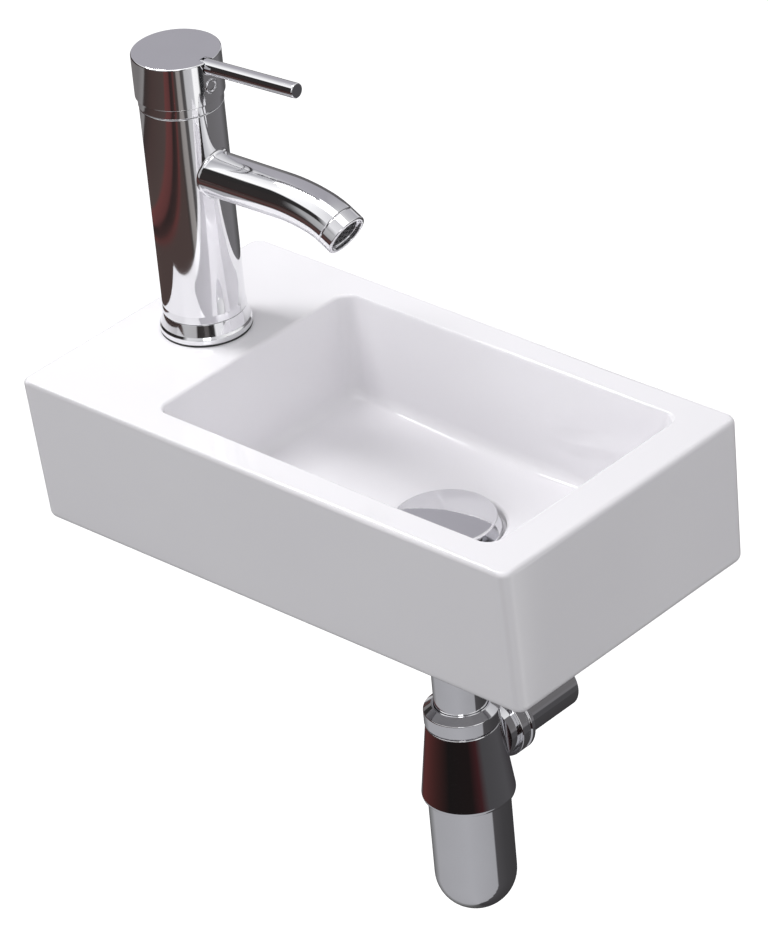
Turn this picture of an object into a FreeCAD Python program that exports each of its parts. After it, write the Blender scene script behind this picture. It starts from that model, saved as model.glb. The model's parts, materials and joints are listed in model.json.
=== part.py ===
"""Wall hung cloakroom basin with a pillar mixer tap, a push plug waste and a bottle trap.

Millimetres. +X runs along the wall to the right of someone facing the basin, +Y runs into
the wall and +Z is up. The origin is midway between the two wall bolt holes, on the wall plane.
The tap stands on the ledge at the left, and the waste and trap hang under the bowl.
"""
import FreeCAD, Part
import math
import os

V = FreeCAD.Vector
UP = V(0, 0, 1)
AWAY = 400.0            # longer than anything here: the reach of cutting tools

# ---------------------------------------------------------------- general clearances
thread_gap = 0.05       # radial, between a thread and its nut or hole
slip_gap = 0.1          # radial, between pieces that slide together when assembled
running_gap = 0.08      # radial, between a shaft and the hole it turns or slides in
motion_gap = 0.3        # between faces that pass each other when something moves

# ---------------------------------------------------------------- ceramic basin
basin_width = 370.0
basin_depth = 200.0
basin_height = 95.0
draft_left = 3.1        # how far each side leans in at the bottom
draft_right = 1.1
draft_front = 5.3
corner_radius = 6.0
inner_corner_radius = 3.0
top_edge_radius = 3.5
bottom_edge_radius = 5.0
skirt_wall = 9.5
back_wall = 10.0
back_ground = 1.0       # ground off the cast back so that it lies flat on the wall
deck_thickness = 12.0
bolt_drop = 55.0        # wall bolt holes below the deck
bolt_inset = 20.0       # wall bolt holes in from the basin's sides
bolt_hole_radius = 6.0

rim_left = 90.0         # widths of the flat rim round the bowl, with the tap's ledge at the left
rim_right = 27.0
rim_front = 20.0
rim_back = 19.0
bowl_depth = 70.0       # deck to the floor at the edge of the waste recess
lean_left = 7.0         # how far each bowl wall leans in over the bowl's depth
lean_right = 12.0
lean_front = 8.0
lean_back = 7.0
floor_slope = 0.06      # rise of the floor per unit away from the waste
bowl_corner_radius = 10.0
bowl_floor_fillet = 9.0
bowl_rim_radius = 2.5
shell_wall = 8.5        # bowl wall low down
shell_wall_top = 14.0   # and where it meets the deck
waste_boss_wall = 4.0

# ---------------------------------------------------------------- waste
waste_x = 46.5
waste_from_wall = 99.0
recess_radius = 35.0
recess_depth = 5.5
recess_edge_radius = 2.0
waste_hole_radius = 22.75
waste_boss_thickness = 11.5
waste_thread_radius = 20.95
waste_bore_radius = 17.5
waste_length = 65.5     # threaded body below the ceramic seat
flange_radius = 33.0
flange_thickness = 2.2
flange_seal_thickness = 1.0
seat_radius = 24.0      # conical seat in the flange, from this radius down to the bore
seat_drop = 3.0
under_washer_radius = 30.0
under_washer_thickness = 4.5
back_nut_flats = 54.0
back_nut_height = 8.0
cross_bar_width = 3.0
cross_bar_height = 7.0
cross_boss_radius = 6.0
cross_boss_gap = 1.0    # cross bar below the barrel with the plug pressed down

plug_radius = 30.2
plug_edge = 2.0
plug_dome = 2.4
plug_travel = 6.0
plug_seal_radius = 20.5
plug_seal_thickness = 2.5
barrel_radius = 6.5
barrel_bore_radius = 4.8
barrel_length = 18.0
barrel_end_wall = 1.5
retainer_height = 2.0
stem_radius = 3.0
stem_head_radius = 4.5
stem_head_height = 2.3
spring_wire = 0.8

# ---------------------------------------------------------------- trap
pipe_radius = 16.0
pipe_wall = 1.2
pipe_sizing = 0.5       # the outlet pipe's held end is drawn down by this much in radius
pipe_top_drop = 63.0    # top of the trap's inlet pipe below the bowl floor
dip_clearance = 36.0    # pipe end above the inside bottom of the bottle
nut_lip = 3.0           # lip of a pipe nut round the pipe
nut_wall = 3.0
inlet_nut_height = 22.0
inlet_washer_height = 4.9
collar_nut_top_drop = 95.0     # top of the collar nut below the underside of the skirt
collar_cone_height = 4.2
collar_nut_height = 8.3
collar_washer_height = 2.5
neck_radius = 19.5
bell_top_radius = 22.0
bell_bottom_radius = 28.0
bell_height = 49.9
bell_band = 6.3
bell_bore_top = 20.0
bell_bore_bottom = 22.5
bottle_radius = 24.5
bottle_wall = 1.5
bottle_length = 64.0    # straight part, up into the bell
bottle_thread = 9.0
bottle_seal_height = 1.5
outlet_drop = 18.9      # outlet axis below the bell's shoulder
outlet_stub_radius = 18.3
outlet_stub_reach = 35.5
outlet_bore_radius = 14.0
outlet_nut_radius = 21.0
outlet_nut_reach = 28.0
outlet_nut_length = 14.0
outlet_washer_height = 3.0
outlet_groove = 0.8
socket_depth = 8.5
outlet_wall_gap = 15.0  # cut end of the outlet pipe short of the wall

# ---------------------------------------------------------------- tap
tap_from_left = 48.0
tap_from_wall = 93.0
tap_hole_radius = 17.5
gasket_thickness = 1.0
gasket_radius = 27.0
base_ring_radius = 27.2
base_lip_height = 5.0
base_band_height = 7.4
base_band_radius = 24.0
body_foot_radius = 20.0
body_radius = 24.4
body_height = 147.2     # deck to the top of the body
collar_radius = 24.7
collar_height = 6.1
cap_radius = 26.0
cap_height = 26.0
cap_skirt_radius = 25.1
cap_skirt_depth = 12.0
cap_hollow_radius = 22.0
cap_top_wall = 4.0
cap_lift_gap = 0.4
cap_edge_radius = 0.8
hub_radius = 7.0
hub_drop = 22.0
web_half_width = 7.0
web_drop = 21.5

spout_height = 106.3    # spout axis above the deck, at the body's axis
spout_radius = 13.5
spout_bore_radius = 9.0
spout_rise = 1.5        # degrees above level where it leaves the body
spout_straight = 75.0   # along the axis, before the first bend
bend_one_radius = 110.0
bend_one_angle = -13.0
bend_two_radius = 45.0
bend_two_angle = -29.0
aerator_ring_length = 8.6
aerator_thread_radius = 11.2
aerator_neck = 5.5
aerator_washer_thickness = 1.5
aerator_insert_radius = 9.9
aerator_recess = 2.6
aerator_jet_radius = 1.0
aerator_jet_pitch = 3.4

lever_radius = 4.5
lever_neck_radius = 3.0
lever_neck_root = 11.0  # along the lever, from the tap's axis
lever_root = 23.3
lever_tip = 94.0
lever_rise = 3.5        # degrees above level
lever_drop = 4.0        # lever axis below the cap's top, at its root
lever_recess_radius = 5.0
lever_recess_floor = 21.0
lever_edge_radius = 0.7
button_radius = 4.5
button_drop = 16.0      # button centre below the cap's top
button_seat = 22.5
button_proud = 0.7
button_ring = 1.3
screw_radius = 2.5
screw_length = 8.0
screw_socket_flats = 2.5
swing_limit = 45.0      # degrees each way
lift_limit = 20.0

cartridge_bore_radius = 17.6
cartridge_bore_drop = 26.2      # seat below the top of the body
cartridge_thread_drop = 7.8
cartridge_thread_radius = 20.5
shell_shoulder_height = 18.4
shell_total_height = 29.5
shell_neck_radius = 14.3
shell_bore_radius = 16.0
shell_bore_height = 13.2
carrier_radius = 12.6
carrier_foot_radius = 15.7
carrier_foot_height = 1.95
carrier_top_height = 31.4
carrier_slot_half_width = 4.25
carrier_slot_half_length = 8.2
port_radius = 3.3
port_back = 5.0
port_side = 7.5
port_front = 8.0
port_seal_radius = 5.0
port_seal_height = 1.3
base_lift = 0.3
base_plate_height = 4.1
disc_height = 3.0
disc_gap = 0.05
fixed_disc_radius = 15.7
moving_disc_radius = 11.0
slider_half_length = 5.0
slider_half_width = 6.1
slider_height = 6.6
pivot_height = 28.0     # spindle pivot above the cartridge seat
pivot_pin_radius = 1.5
pivot_pin_gap = 0.05
ball_drop = 13.0
ball_radius = 3.4
ball_pocket_radius = 3.6
shank_radius = 2.4
spindle_half = 4.0
spindle_block_drop = 5.0
spindle_top = 22.0      # above the pivot
cartridge_nut_height = 9.0

inlet_thread_radius = 4.5
inlet_thread_length = 12.0
inlet_bore_radius = 3.3
stud_radius = 4.0
stud_offset = 10.0
stud_in_body = 13.0
stud_below_deck = 48.0
horseshoe_radius = 24.0
horseshoe_thickness = 2.5
horseshoe_slot = 13.0
fixing_nut_flats = 13.0
fixing_nut_height = 10.0

# ---------------------------------------------------------------- places that follow
deck_z = bolt_drop
skirt_z = deck_z - basin_height
left_x = -basin_width / 2
right_x = basin_width / 2
front_y = -basin_depth
tap_x = left_x + tap_from_left
tap_y = -tap_from_wall
waste_y = -waste_from_wall
floor_z = deck_z - bowl_depth
recess_z = floor_z - recess_depth
boss_z = recess_z - waste_boss_thickness

flange_bottom = recess_z + flange_seal_thickness
flange_top = flange_bottom + flange_thickness
waste_end = recess_z - waste_length
washer_bottom = boss_z - under_washer_thickness
plug_bottom = flange_top + motion_gap + plug_travel
barrel_bottom = plug_bottom - barrel_length
retainer_top = barrel_bottom + retainer_height
stem_head_bottom = retainer_top + motion_gap
stem_head_top = stem_head_bottom + stem_head_height
barrel_end = plug_bottom - barrel_end_wall
cross_boss_top = barrel_bottom - plug_travel - cross_boss_gap

collar_nut_top = skirt_z - collar_nut_top_drop
collar_cone_bottom = collar_nut_top - collar_cone_height
collar_nut_bottom = collar_cone_bottom - collar_nut_height
collar_lip_bottom = collar_nut_top - nut_lip - nut_wall + 0.5
neck_top = collar_lip_bottom - collar_washer_height
bell_top = collar_nut_bottom - 1.1
bell_bottom = bell_top - bell_height
bottle_top = bell_bottom + bottle_thread
bottle_centre = bottle_top - bottle_length
outlet_z = bell_top - outlet_drop
held_radius = pipe_radius - pipe_sizing

foot_z = deck_z + gasket_thickness
band_z = foot_z + base_lip_height
body_bottom_z = band_z + base_band_height
body_top_z = deck_z + body_height
seat_z = body_top_z - cartridge_bore_drop
thread_z = body_top_z - cartridge_thread_drop
shoulder_z = seat_z + shell_shoulder_height
collar_bottom_z = body_top_z + motion_gap
collar_top_z = collar_bottom_z + collar_height
cap_bottom_z = collar_top_z + cap_lift_gap
cap_top_z = cap_bottom_z + cap_height
pivot_z = seat_z + pivot_height
base_z = seat_z + base_lift
fixed_disc_z = base_z + base_plate_height
moving_disc_z = fixed_disc_z + disc_height + disc_gap
slider_z = moving_disc_z + disc_height
carrier_foot_z = slider_z + 0.5
lever_root_z = cap_top_z - lever_drop
button_z = cap_top_z - button_drop
ports = [(-port_back, port_side), (-port_back, -port_side), (port_front, 0.0)]


# ---------------------------------------------------------------- shapes used throughout
def rod(radius, z_low, z_high, x=0.0, y=0.0):
    """Upright cylinder between two heights."""
    return Part.makeCylinder(radius, z_high - z_low, V(x, y, z_low))


def ring(outer, inner, z_low, z_high, x=0.0, y=0.0):
    """Upright tube between two heights."""
    return rod(outer, z_low, z_high, x, y).cut(rod(inner, z_low - 1, z_high + 1, x, y))


def block(x_low, x_high, y_low, y_high, z_low, z_high):
    """Box between two corners."""
    return Part.makeBox(x_high - x_low, y_high - y_low, z_high - z_low, V(x_low, y_low, z_low))


def turned(profile, x=0.0, y=0.0):
    """Solid of revolution about an upright axis, from (radius, height) points."""
    points = [V(x + r, y, z) for r, z in profile]
    face = Part.Face(Part.makePolygon(points + points[:1]))
    return face.revolve(V(x, y, 0), UP, 360)


def hexagon(flats, z_low, z_high, x, y, turn=0.0):
    """Hexagonal prism, measured across its flats."""
    reach = flats / 2 / math.cos(math.pi / 6)
    angles = [math.radians(turn + 60 * i) for i in range(7)]
    points = [V(x + reach * math.cos(a), y + reach * math.sin(a), z_low) for a in angles]
    return Part.Face(Part.makePolygon(points)).extrude(V(0, 0, z_high - z_low))


def rounded_outline(x_low, x_high, y_low, y_high, radius, z):
    """Closed rectangle with round corners, as a wire at height z."""
    corners = [(x_high - radius, y_high - radius, 0), (x_low + radius, y_high - radius, 90),
               (x_low + radius, y_low + radius, 180), (x_high - radius, y_low + radius, 270)]
    arcs = []
    for cx, cy, start in corners:
        arc_points = []
        for step in (0, 45, 90):
            a = math.radians(start + step)
            arc_points.append(V(cx + radius * math.cos(a), cy + radius * math.sin(a), z))
        arcs.append(Part.Arc(*arc_points))
    edges = []
    for i, arc in enumerate(arcs):
        edges.append(arc.toShape())
        edges.append(Part.makeLine(arc.EndPoint, arcs[(i + 1) % 4].StartPoint))
    return Part.Wire(edges)


def loft(lower, upper):
    """Solid between two outlines."""
    return Part.makeLoft([lower, upper], True, True)


def edges_at(shape, z, tolerance=0.01):
    """Edges that lie in the level plane at height z."""
    return [e for e in shape.Edges
            if abs(e.BoundBox.ZMin - z) < tolerance and abs(e.BoundBox.ZMax - z) < tolerance]


def along(shape, origin, direction):
    """Carry a shape built about +Z at the origin so that +Z lies along direction."""
    placed = shape.copy()
    placed.Placement = FreeCAD.Placement(origin, FreeCAD.Rotation(UP, direction))
    return placed


def fused(first, *others):
    """One solid out of several that touch, with its leftover seams removed."""
    return first.fuse(list(others)).removeSplitter()


# ---------------------------------------------------------------- ceramic basin
def outer_outline(z, inset=0.0, back_inset=0.0):
    """Outside of the basin at height z, or the same line moved inwards."""
    down = (deck_z - top_edge_radius - z) / basin_height
    radius = inner_corner_radius if inset else corner_radius
    return rounded_outline(left_x + draft_left * down + inset, right_x - draft_right * down - inset,
                           front_y + draft_front * down + inset, -back_inset, radius, z)


def bowl_outline(z, grow=0.0):
    """Inside of the bowl at height z, or the same line moved outwards."""
    down = (deck_z - z) / bowl_depth
    return rounded_outline(left_x + rim_left + lean_left * down - grow,
                           right_x - rim_right - lean_right * down + grow,
                           front_y + rim_front + lean_front * down - grow,
                           -rim_back - lean_back * down + grow, bowl_corner_radius + grow, z)


def above_floor():
    """Everything over the bowl floor: a shallow dish centred on the waste, with its recess."""
    reach = AWAY - recess_radius
    dish = Part.makeCone(recess_radius, AWAY, floor_slope * reach, V(waste_x, waste_y, floor_z))
    return dish.fuse(rod(AWAY, floor_z + floor_slope * reach, deck_z + AWAY, waste_x, waste_y))


def bowl_void():
    """Space that the bowl encloses, with its floor rounded into its walls."""
    over = 5.0
    walls = loft(bowl_outline(floor_z - over), bowl_outline(deck_z + over))
    void = walls.common(above_floor())
    cones = [f for f in void.Faces if f.Surface.TypeId == "Part::GeomCone"]
    floor = max(cones, key=lambda face: face.Area)
    mouth = [e for e in floor.Edges if e.Curve.TypeId == "Part::GeomCircle"
             and abs(e.Curve.Radius - recess_radius) < 0.01]
    rim = [e for e in floor.Edges if not any(e.isSame(m) for m in mouth)]
    return void.makeFillet(bowl_floor_fillet, rim)


def underside_void():
    """Space that the casting leaves open from below, round the bowl and under the ledge."""
    top_z = deck_z - deck_thickness
    inside = loft(outer_outline(skirt_z - 1, skirt_wall, back_wall),
                  outer_outline(top_z, skirt_wall, back_wall))
    shell_bottom = floor_z - shell_wall
    shell = loft(bowl_outline(shell_bottom, shell_wall), bowl_outline(deck_z, shell_wall_top))
    boss = rod(recess_radius + waste_boss_wall, boss_z, deck_z, waste_x, waste_y)
    return inside.cut(shell).cut(boss)


def basin_body():
    """Slip-cast body: deck with tap ledge, bowl, skirt and back."""
    body = loft(outer_outline(skirt_z, 0.0, -back_ground), outer_outline(deck_z, 0.0, -back_ground))
    body = body.makeFillet(top_edge_radius, edges_at(body, deck_z))
    body = body.makeFillet(bottom_edge_radius, edges_at(body, skirt_z))
    body = body.cut(block(-AWAY, AWAY, 0, AWAY, skirt_z - 1, deck_z + 1))
    body = body.cut(underside_void()).cut(bowl_void())
    body = body.cut(rod(recess_radius, recess_z, floor_z + 1, waste_x, waste_y))
    mouth = [e for e in edges_at(body, floor_z) if e.Curve.TypeId == "Part::GeomCircle"
             and abs(e.Curve.Radius - recess_radius) < 0.01]
    body = body.makeFillet(recess_edge_radius, mouth)
    body = body.cut(rod(waste_hole_radius, boss_z - 1, deck_z, waste_x, waste_y))
    body = body.cut(rod(tap_hole_radius, deck_z - deck_thickness - 1, deck_z + 1, tap_x, tap_y))
    for side in (-1, 1):
        mouth = V(side * (basin_width / 2 - bolt_inset), 1, 0)
        body = body.cut(Part.makeCylinder(bolt_hole_radius, back_wall + 2, mouth, V(0, -1, 0)))
    rim = [e for e in edges_at(body, deck_z)
           if e.BoundBox.XMin > left_x + rim_left - 1 and e.BoundBox.XMax < right_x - rim_right + 1
           and e.BoundBox.YMin > front_y + rim_front - 1 and e.BoundBox.YMax < -rim_back + 1]
    return body.makeFillet(bowl_rim_radius, rim)


# ---------------------------------------------------------------- waste
def waste_flange_seal():
    """Ring between the waste's flange and the ceramic."""
    return ring(flange_radius - 1, waste_thread_radius + 0.3, recess_z, flange_bottom, waste_x, waste_y)


def waste_body():
    """Threaded waste with a flange, a conical seat and a cross bar for the plug's stem."""
    body = turned([(waste_bore_radius, waste_end), (waste_thread_radius, waste_end),
                   (waste_thread_radius, flange_bottom), (flange_radius - 0.6, flange_bottom),
                   (flange_radius, flange_bottom + 0.6), (flange_radius, flange_top - 0.8),
                   (flange_radius - 0.8, flange_top), (seat_radius, flange_top),
                   (waste_bore_radius, flange_top - seat_drop)], waste_x, waste_y)
    boss_bottom = cross_boss_top - cross_bar_height
    bars = rod(cross_boss_radius, boss_bottom, cross_boss_top, waste_x, waste_y)
    reach = waste_bore_radius + 1
    half = cross_bar_width / 2
    for i in range(3):
        bar = block(0, reach, -half, half, boss_bottom, cross_boss_top - 1)
        bar.rotate(V(0, 0, 0), UP, 120 * i)
        bar.translate(V(waste_x, waste_y, 0))
        bars = bars.fuse(bar)
    bars = bars.cut(rod(stem_radius, boss_bottom - 1, cross_boss_top + 1, waste_x, waste_y))
    return fused(body, bars)


def waste_under_washer():
    """Rubber washer under the ceramic."""
    return ring(under_washer_radius, waste_thread_radius + 0.2, washer_bottom, boss_z, waste_x, waste_y)


def waste_back_nut():
    """Hexagonal nut that clamps the waste from below."""
    nut = hexagon(back_nut_flats, washer_bottom - back_nut_height, washer_bottom, waste_x, waste_y)
    return nut.cut(rod(waste_thread_radius + thread_gap, deck_z - AWAY, deck_z, waste_x, waste_y))


def plug_cap():
    """Domed disc that covers the waste."""
    top = plug_bottom + plug_edge
    sphere_radius = (plug_radius ** 2 + plug_dome ** 2) / (2 * plug_dome)
    centre_z = top + plug_dome - sphere_radius
    dome = Part.makeSphere(sphere_radius, V(waste_x, waste_y, centre_z))
    disc = rod(plug_radius, plug_bottom, top + plug_dome + 1, waste_x, waste_y).common(dome)
    return disc.makeFillet(plug_edge * 0.35, edges_at(disc, top) + edges_at(disc, plug_bottom))


def plug_seal():
    """Rubber ring under the plug, tapered to its seat."""
    low = plug_bottom - plug_seal_thickness
    inner = barrel_radius + slip_gap
    return turned([(inner, low), (plug_seal_radius - 2.7, low), (plug_seal_radius, low + 1),
                   (plug_seal_radius, plug_bottom), (inner, plug_bottom)], waste_x, waste_y)


def plug_barrel():
    """Brass barrel that slides over the stem and holds the spring."""
    barrel = rod(barrel_radius, barrel_bottom, plug_bottom, waste_x, waste_y)
    return barrel.cut(rod(barrel_bore_radius, barrel_bottom - 1, barrel_end, waste_x, waste_y))


def plug_retainer():
    """Ring in the barrel's mouth that catches the stem's head when the plug is up."""
    return ring(barrel_bore_radius, stem_radius + running_gap, barrel_bottom, retainer_top, waste_x, waste_y)


def plug_stem():
    """Stem screwed into the cross bar, with the head that the barrel slides on."""
    stem = rod(stem_radius, cross_boss_top - cross_bar_height, stem_head_top, waste_x, waste_y)
    return fused(stem, rod(stem_head_radius, stem_head_bottom, stem_head_top, waste_x, waste_y))


def plug_spring():
    """Plain sleeve in the place of the coil between the stem's head and the closed end of the barrel."""
    outer = barrel_bore_radius - motion_gap
    return ring(outer, outer - spring_wire, stem_head_top, barrel_end, waste_x, waste_y)


# ---------------------------------------------------------------- trap
def pipe_nut(top_z, bottom_z, thread, upright):
    """Round nut whose lip holds a pipe; the lip is at the top if upright, else at the bottom."""
    outer = thread + nut_wall
    lip = pipe_radius + motion_gap
    edge = 0.5
    profile = [(lip, top_z), (lip + 1.2, top_z), (outer - edge, top_z - collar_cone_height + 0.6),
               (outer, top_z - collar_cone_height), (outer, bottom_z + edge), (outer - edge, bottom_z),
               (thread, bottom_z), (thread, collar_lip_bottom - collar_nut_top + top_z),
               (lip, collar_lip_bottom - collar_nut_top + top_z)]
    if not upright:
        profile = [(r, top_z + bottom_z - z) for r, z in profile]
    return turned(profile, waste_x, waste_y)


def trap_inlet_nut():
    """Nut that joins the inlet pipe to the waste."""
    lip = nut_lip + nut_wall - 0.5
    low = waste_end - inlet_washer_height - lip
    return pipe_nut(low + inlet_nut_height, low, waste_thread_radius + thread_gap, False)


def trap_inlet_washer():
    """Rubber washer between the waste and the inlet nut's lip."""
    return ring(waste_thread_radius - 0.2, pipe_radius, waste_end - inlet_washer_height, waste_end,
                waste_x, waste_y)


def trap_inlet_pipe():
    """Pipe from the waste down into the bottle."""
    low = bottle_centre - (bottle_radius - bottle_wall) + dip_clearance
    return ring(pipe_radius, pipe_radius - pipe_wall, low, floor_z - pipe_top_drop, waste_x, waste_y)


def trap_collar_nut():
    """Nut that holds the inlet pipe in the trap's neck."""
    return pipe_nut(collar_nut_top, collar_nut_bottom, neck_radius + thread_gap, True)


def trap_collar_washer():
    """Rubber washer between the neck and the collar nut's lip."""
    return ring(neck_radius - 0.2, pipe_radius, neck_top, collar_lip_bottom, waste_x, waste_y)


def trap_body():
    """Bell with a threaded neck, a side outlet and a thread for the bottle."""
    band_top = bell_bottom + bell_band
    outside = turned([(0, bell_bottom), (bell_bottom_radius - 0.5, bell_bottom),
                      (bell_bottom_radius, bell_bottom + 0.5), (bell_bottom_radius, band_top),
                      (bell_bottom_radius - 0.5, band_top + 0.6), (bell_top_radius, bell_top - 0.6),
                      (bell_top_radius - 0.6, bell_top), (neck_radius, bell_top),
                      (neck_radius, neck_top), (0, neck_top)], waste_x, waste_y)
    toward_wall = V(0, 1, 0)
    centre = V(waste_x, waste_y, outlet_z)
    outside = outside.fuse(Part.makeCylinder(outlet_stub_radius, outlet_stub_reach, centre, toward_wall))
    seal_top = bottle_top + bottle_seal_height
    inside = turned([(0, bell_bottom - 1), (bottle_radius + thread_gap, bell_bottom - 1),
                     (bottle_radius + thread_gap, seal_top), (bell_bore_bottom, seal_top),
                     (bell_bore_top, bell_top - 2.4), (pipe_radius + motion_gap, bell_top - 2.4),
                     (pipe_radius + motion_gap, neck_top + 1), (0, neck_top + 1)], waste_x, waste_y)
    passage = Part.makeCylinder(outlet_bore_radius, outlet_stub_reach + 1, centre, toward_wall)
    socket = Part.makeCylinder(held_radius + slip_gap, socket_depth + 1,
                               centre + V(0, outlet_stub_reach - socket_depth, 0), toward_wall)
    return outside.cut(inside).cut(passage).cut(socket).removeSplitter()


def trap_bottle():
    """Cup with a round bottom, screwed into the bell."""
    def cup(radius):
        ball = Part.makeSphere(radius, V(waste_x, waste_y, bottle_centre))
        below = rod(AWAY, bottle_centre - AWAY, bottle_centre, waste_x, waste_y)
        return ball.common(below).fuse(rod(radius, bottle_centre, bottle_top, waste_x, waste_y))
    inside = cup(bottle_radius - bottle_wall)
    return cup(bottle_radius).cut(inside).removeSplitter()


def trap_bottle_seal():
    """Flat ring between the bottle's lip and the bell."""
    return ring(bottle_radius - 0.1, bell_bore_bottom, bottle_top, bottle_top + bottle_seal_height,
                waste_x, waste_y)


def toward_wall(profile):
    """Turned piece on the outlet's axis, from (radius, distance from the trap's axis) points."""
    return along(turned(profile), V(waste_x, waste_y, outlet_z), V(0, 1, 0))


def trap_outlet_nut():
    """Nut that holds the outlet pipe in the side outlet."""
    near, far = outlet_nut_reach, outlet_nut_reach + outlet_nut_length
    lip_face = outlet_stub_reach + outlet_washer_height
    thread = outlet_stub_radius + thread_gap
    middle = (near + far) / 2
    rim, groove = outlet_nut_radius, outlet_nut_radius - outlet_groove
    lip = held_radius + motion_gap
    return toward_wall([(thread, near), (rim - 0.5, near), (rim, near + 0.5), (rim, middle - 1.4),
                        (groove, middle - 0.6), (groove, middle + 0.6), (rim, middle + 1.4),
                        (rim, far - 3.5), (rim - 0.6, far - 2.9), (lip + 1.2, far), (lip, far),
                        (lip, lip_face), (thread, lip_face)])


def trap_outlet_washer():
    """Rubber washer between the side outlet and the outlet nut's lip."""
    outer, face = outlet_stub_radius - 0.2, outlet_stub_reach
    return toward_wall([(held_radius, face), (outer, face), (outer, face + outlet_washer_height),
                        (held_radius, face + outlet_washer_height)])


def trap_outlet_pipe():
    """Pipe from the side outlet to the wall."""
    start = outlet_stub_reach - socket_depth
    shoulder = outlet_nut_reach + outlet_nut_length + motion_gap
    end = waste_from_wall - outlet_wall_gap
    inner = pipe_radius - pipe_wall
    return toward_wall([(inner, start), (held_radius, start), (held_radius, shoulder), (pipe_radius, shoulder),
                        (pipe_radius, end), (inner, end)])


# ---------------------------------------------------------------- tap body
def spout_path():
    """Points and directions of the spout's axis: a straight run and two bends, in its own plane."""
    heading = math.radians(spout_rise)
    start = V(tap_x, tap_y, deck_z + spout_height)
    here = start + V(math.cos(heading), 0, math.sin(heading)) * spout_straight
    pieces = [Part.makeLine(start, here)]
    for radius, end_angle in ((bend_one_radius, bend_one_angle), (bend_two_radius, bend_two_angle)):
        end_heading = math.radians(end_angle)
        centre = here + V(math.sin(heading), 0, -math.cos(heading)) * radius
        points = []
        for share in (0, 0.5, 1):
            a = heading + (end_heading - heading) * share
            points.append(centre + V(-math.sin(a), 0, math.cos(a)) * radius)
        pieces.append(Part.Arc(*points).toShape())
        here, heading = points[2], end_heading
    return pieces, here, V(math.cos(heading), 0, math.sin(heading))


SPOUT_EDGES, SPOUT_END, SPOUT_AIM = spout_path()


def spout_tube(radius):
    """Solid round bar along the spout's axis."""
    start = SPOUT_EDGES[0].Vertexes[0].Point
    aim = (SPOUT_EDGES[0].Vertexes[1].Point - start).normalize()
    section = Part.Wire(Part.makeCircle(radius, start, aim))
    return Part.Wire(SPOUT_EDGES).makePipeShell([section], True, False)


def tap_body():
    """Brass body with its spout: inlets below, cartridge bore above, waterway to the spout."""
    body = turned([(0, foot_z), (body_foot_radius, foot_z), (body_foot_radius, body_bottom_z),
                   (body_radius, body_bottom_z), (body_radius + 0.5, body_bottom_z + 0.5),
                   (body_radius + 0.4, body_bottom_z + 1.4), (body_radius, body_bottom_z + 5),
                   (body_radius, body_top_z - 0.4), (body_radius - 0.4, body_top_z), (0, body_top_z)],
                  tap_x, tap_y)
    body = body.fuse(spout_tube(spout_radius)).removeSplitter()
    body = body.cut(rod(cartridge_bore_radius, seat_z, body_top_z + 1, tap_x, tap_y))
    body = body.cut(rod(cartridge_thread_radius, thread_z, body_top_z + 1, tap_x, tap_y))
    for x, y in ports[:2]:
        body = body.cut(rod(inlet_thread_radius, foot_z - 1, foot_z + inlet_thread_length, tap_x + x, tap_y + y))
        body = body.cut(rod(inlet_bore_radius, foot_z, seat_z + 1, tap_x + x, tap_y + y))
    body = body.cut(rod(stud_radius, foot_z - 1, foot_z + stud_in_body + 1, tap_x + stud_offset, tap_y))
    drop_x, drop_y = ports[2]
    spout_z = deck_z + spout_height
    waterway = rod(inlet_bore_radius, spout_z, seat_z + 1, tap_x + drop_x, tap_y + drop_y)
    keep_clear = block(tap_x, tap_x + AWAY, tap_y - AWAY, tap_y + AWAY, deck_z, seat_z)
    waterway = waterway.fuse(spout_tube(spout_bore_radius).common(keep_clear))
    mouth_depth = aerator_neck + aerator_washer_thickness
    thread = Part.makeCylinder(aerator_thread_radius, mouth_depth + 1, SPOUT_END - SPOUT_AIM * mouth_depth, SPOUT_AIM)
    return body.cut(waterway).cut(thread).removeSplitter()


def tap_base_gasket():
    """Black rubber ring under the tap."""
    return ring(gasket_radius, tap_hole_radius, deck_z, foot_z, tap_x, tap_y)


def tap_base_ring():
    """Chromed ring round the foot: a flared lip with a plain band over it."""
    inner = body_foot_radius + slip_gap
    rim, band = base_ring_radius, base_band_radius
    lift = base_lip_height
    top = body_bottom_z - 0.2
    return turned([(inner, foot_z), (rim - 0.4, foot_z), (rim, foot_z + 0.16 * lift),
                   (rim - 0.1, foot_z + 0.36 * lift), (rim - 1.0, foot_z + 0.6 * lift),
                   (rim - 2.4, foot_z + 0.86 * lift), (band + 0.5, band_z), (band, band_z + 0.6),
                   (band, top), (inner, top)], tap_x, tap_y)


def tap_fixing_stud():
    """Threaded stud under the tap."""
    return rod(stud_radius, deck_z - stud_below_deck, foot_z + stud_in_body, tap_x + stud_offset, tap_y)


def horseshoe(z_low):
    """Crescent washer: open towards the inlets so that it slides on past the hoses."""
    crescent = rod(horseshoe_radius, z_low, z_low + horseshoe_thickness, tap_x, tap_y)
    opening = rod(horseshoe_slot, z_low - 1, z_low + horseshoe_thickness + 1, tap_x - port_back, tap_y)
    gate = block(tap_x - port_back - AWAY, tap_x - port_back, tap_y - horseshoe_slot, tap_y + horseshoe_slot,
                 z_low - 1, z_low + horseshoe_thickness + 1)
    hole = rod(stud_radius + motion_gap, z_low - 1, z_low + horseshoe_thickness + 1, tap_x + stud_offset, tap_y)
    return crescent.cut(opening).cut(gate).cut(hole)


def tap_fixing_gasket():
    """Rubber crescent against the underside of the ledge."""
    return horseshoe(deck_z - deck_thickness - horseshoe_thickness)


def tap_fixing_plate():
    """Steel crescent under the rubber one."""
    return horseshoe(deck_z - deck_thickness - 2 * horseshoe_thickness)


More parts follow.
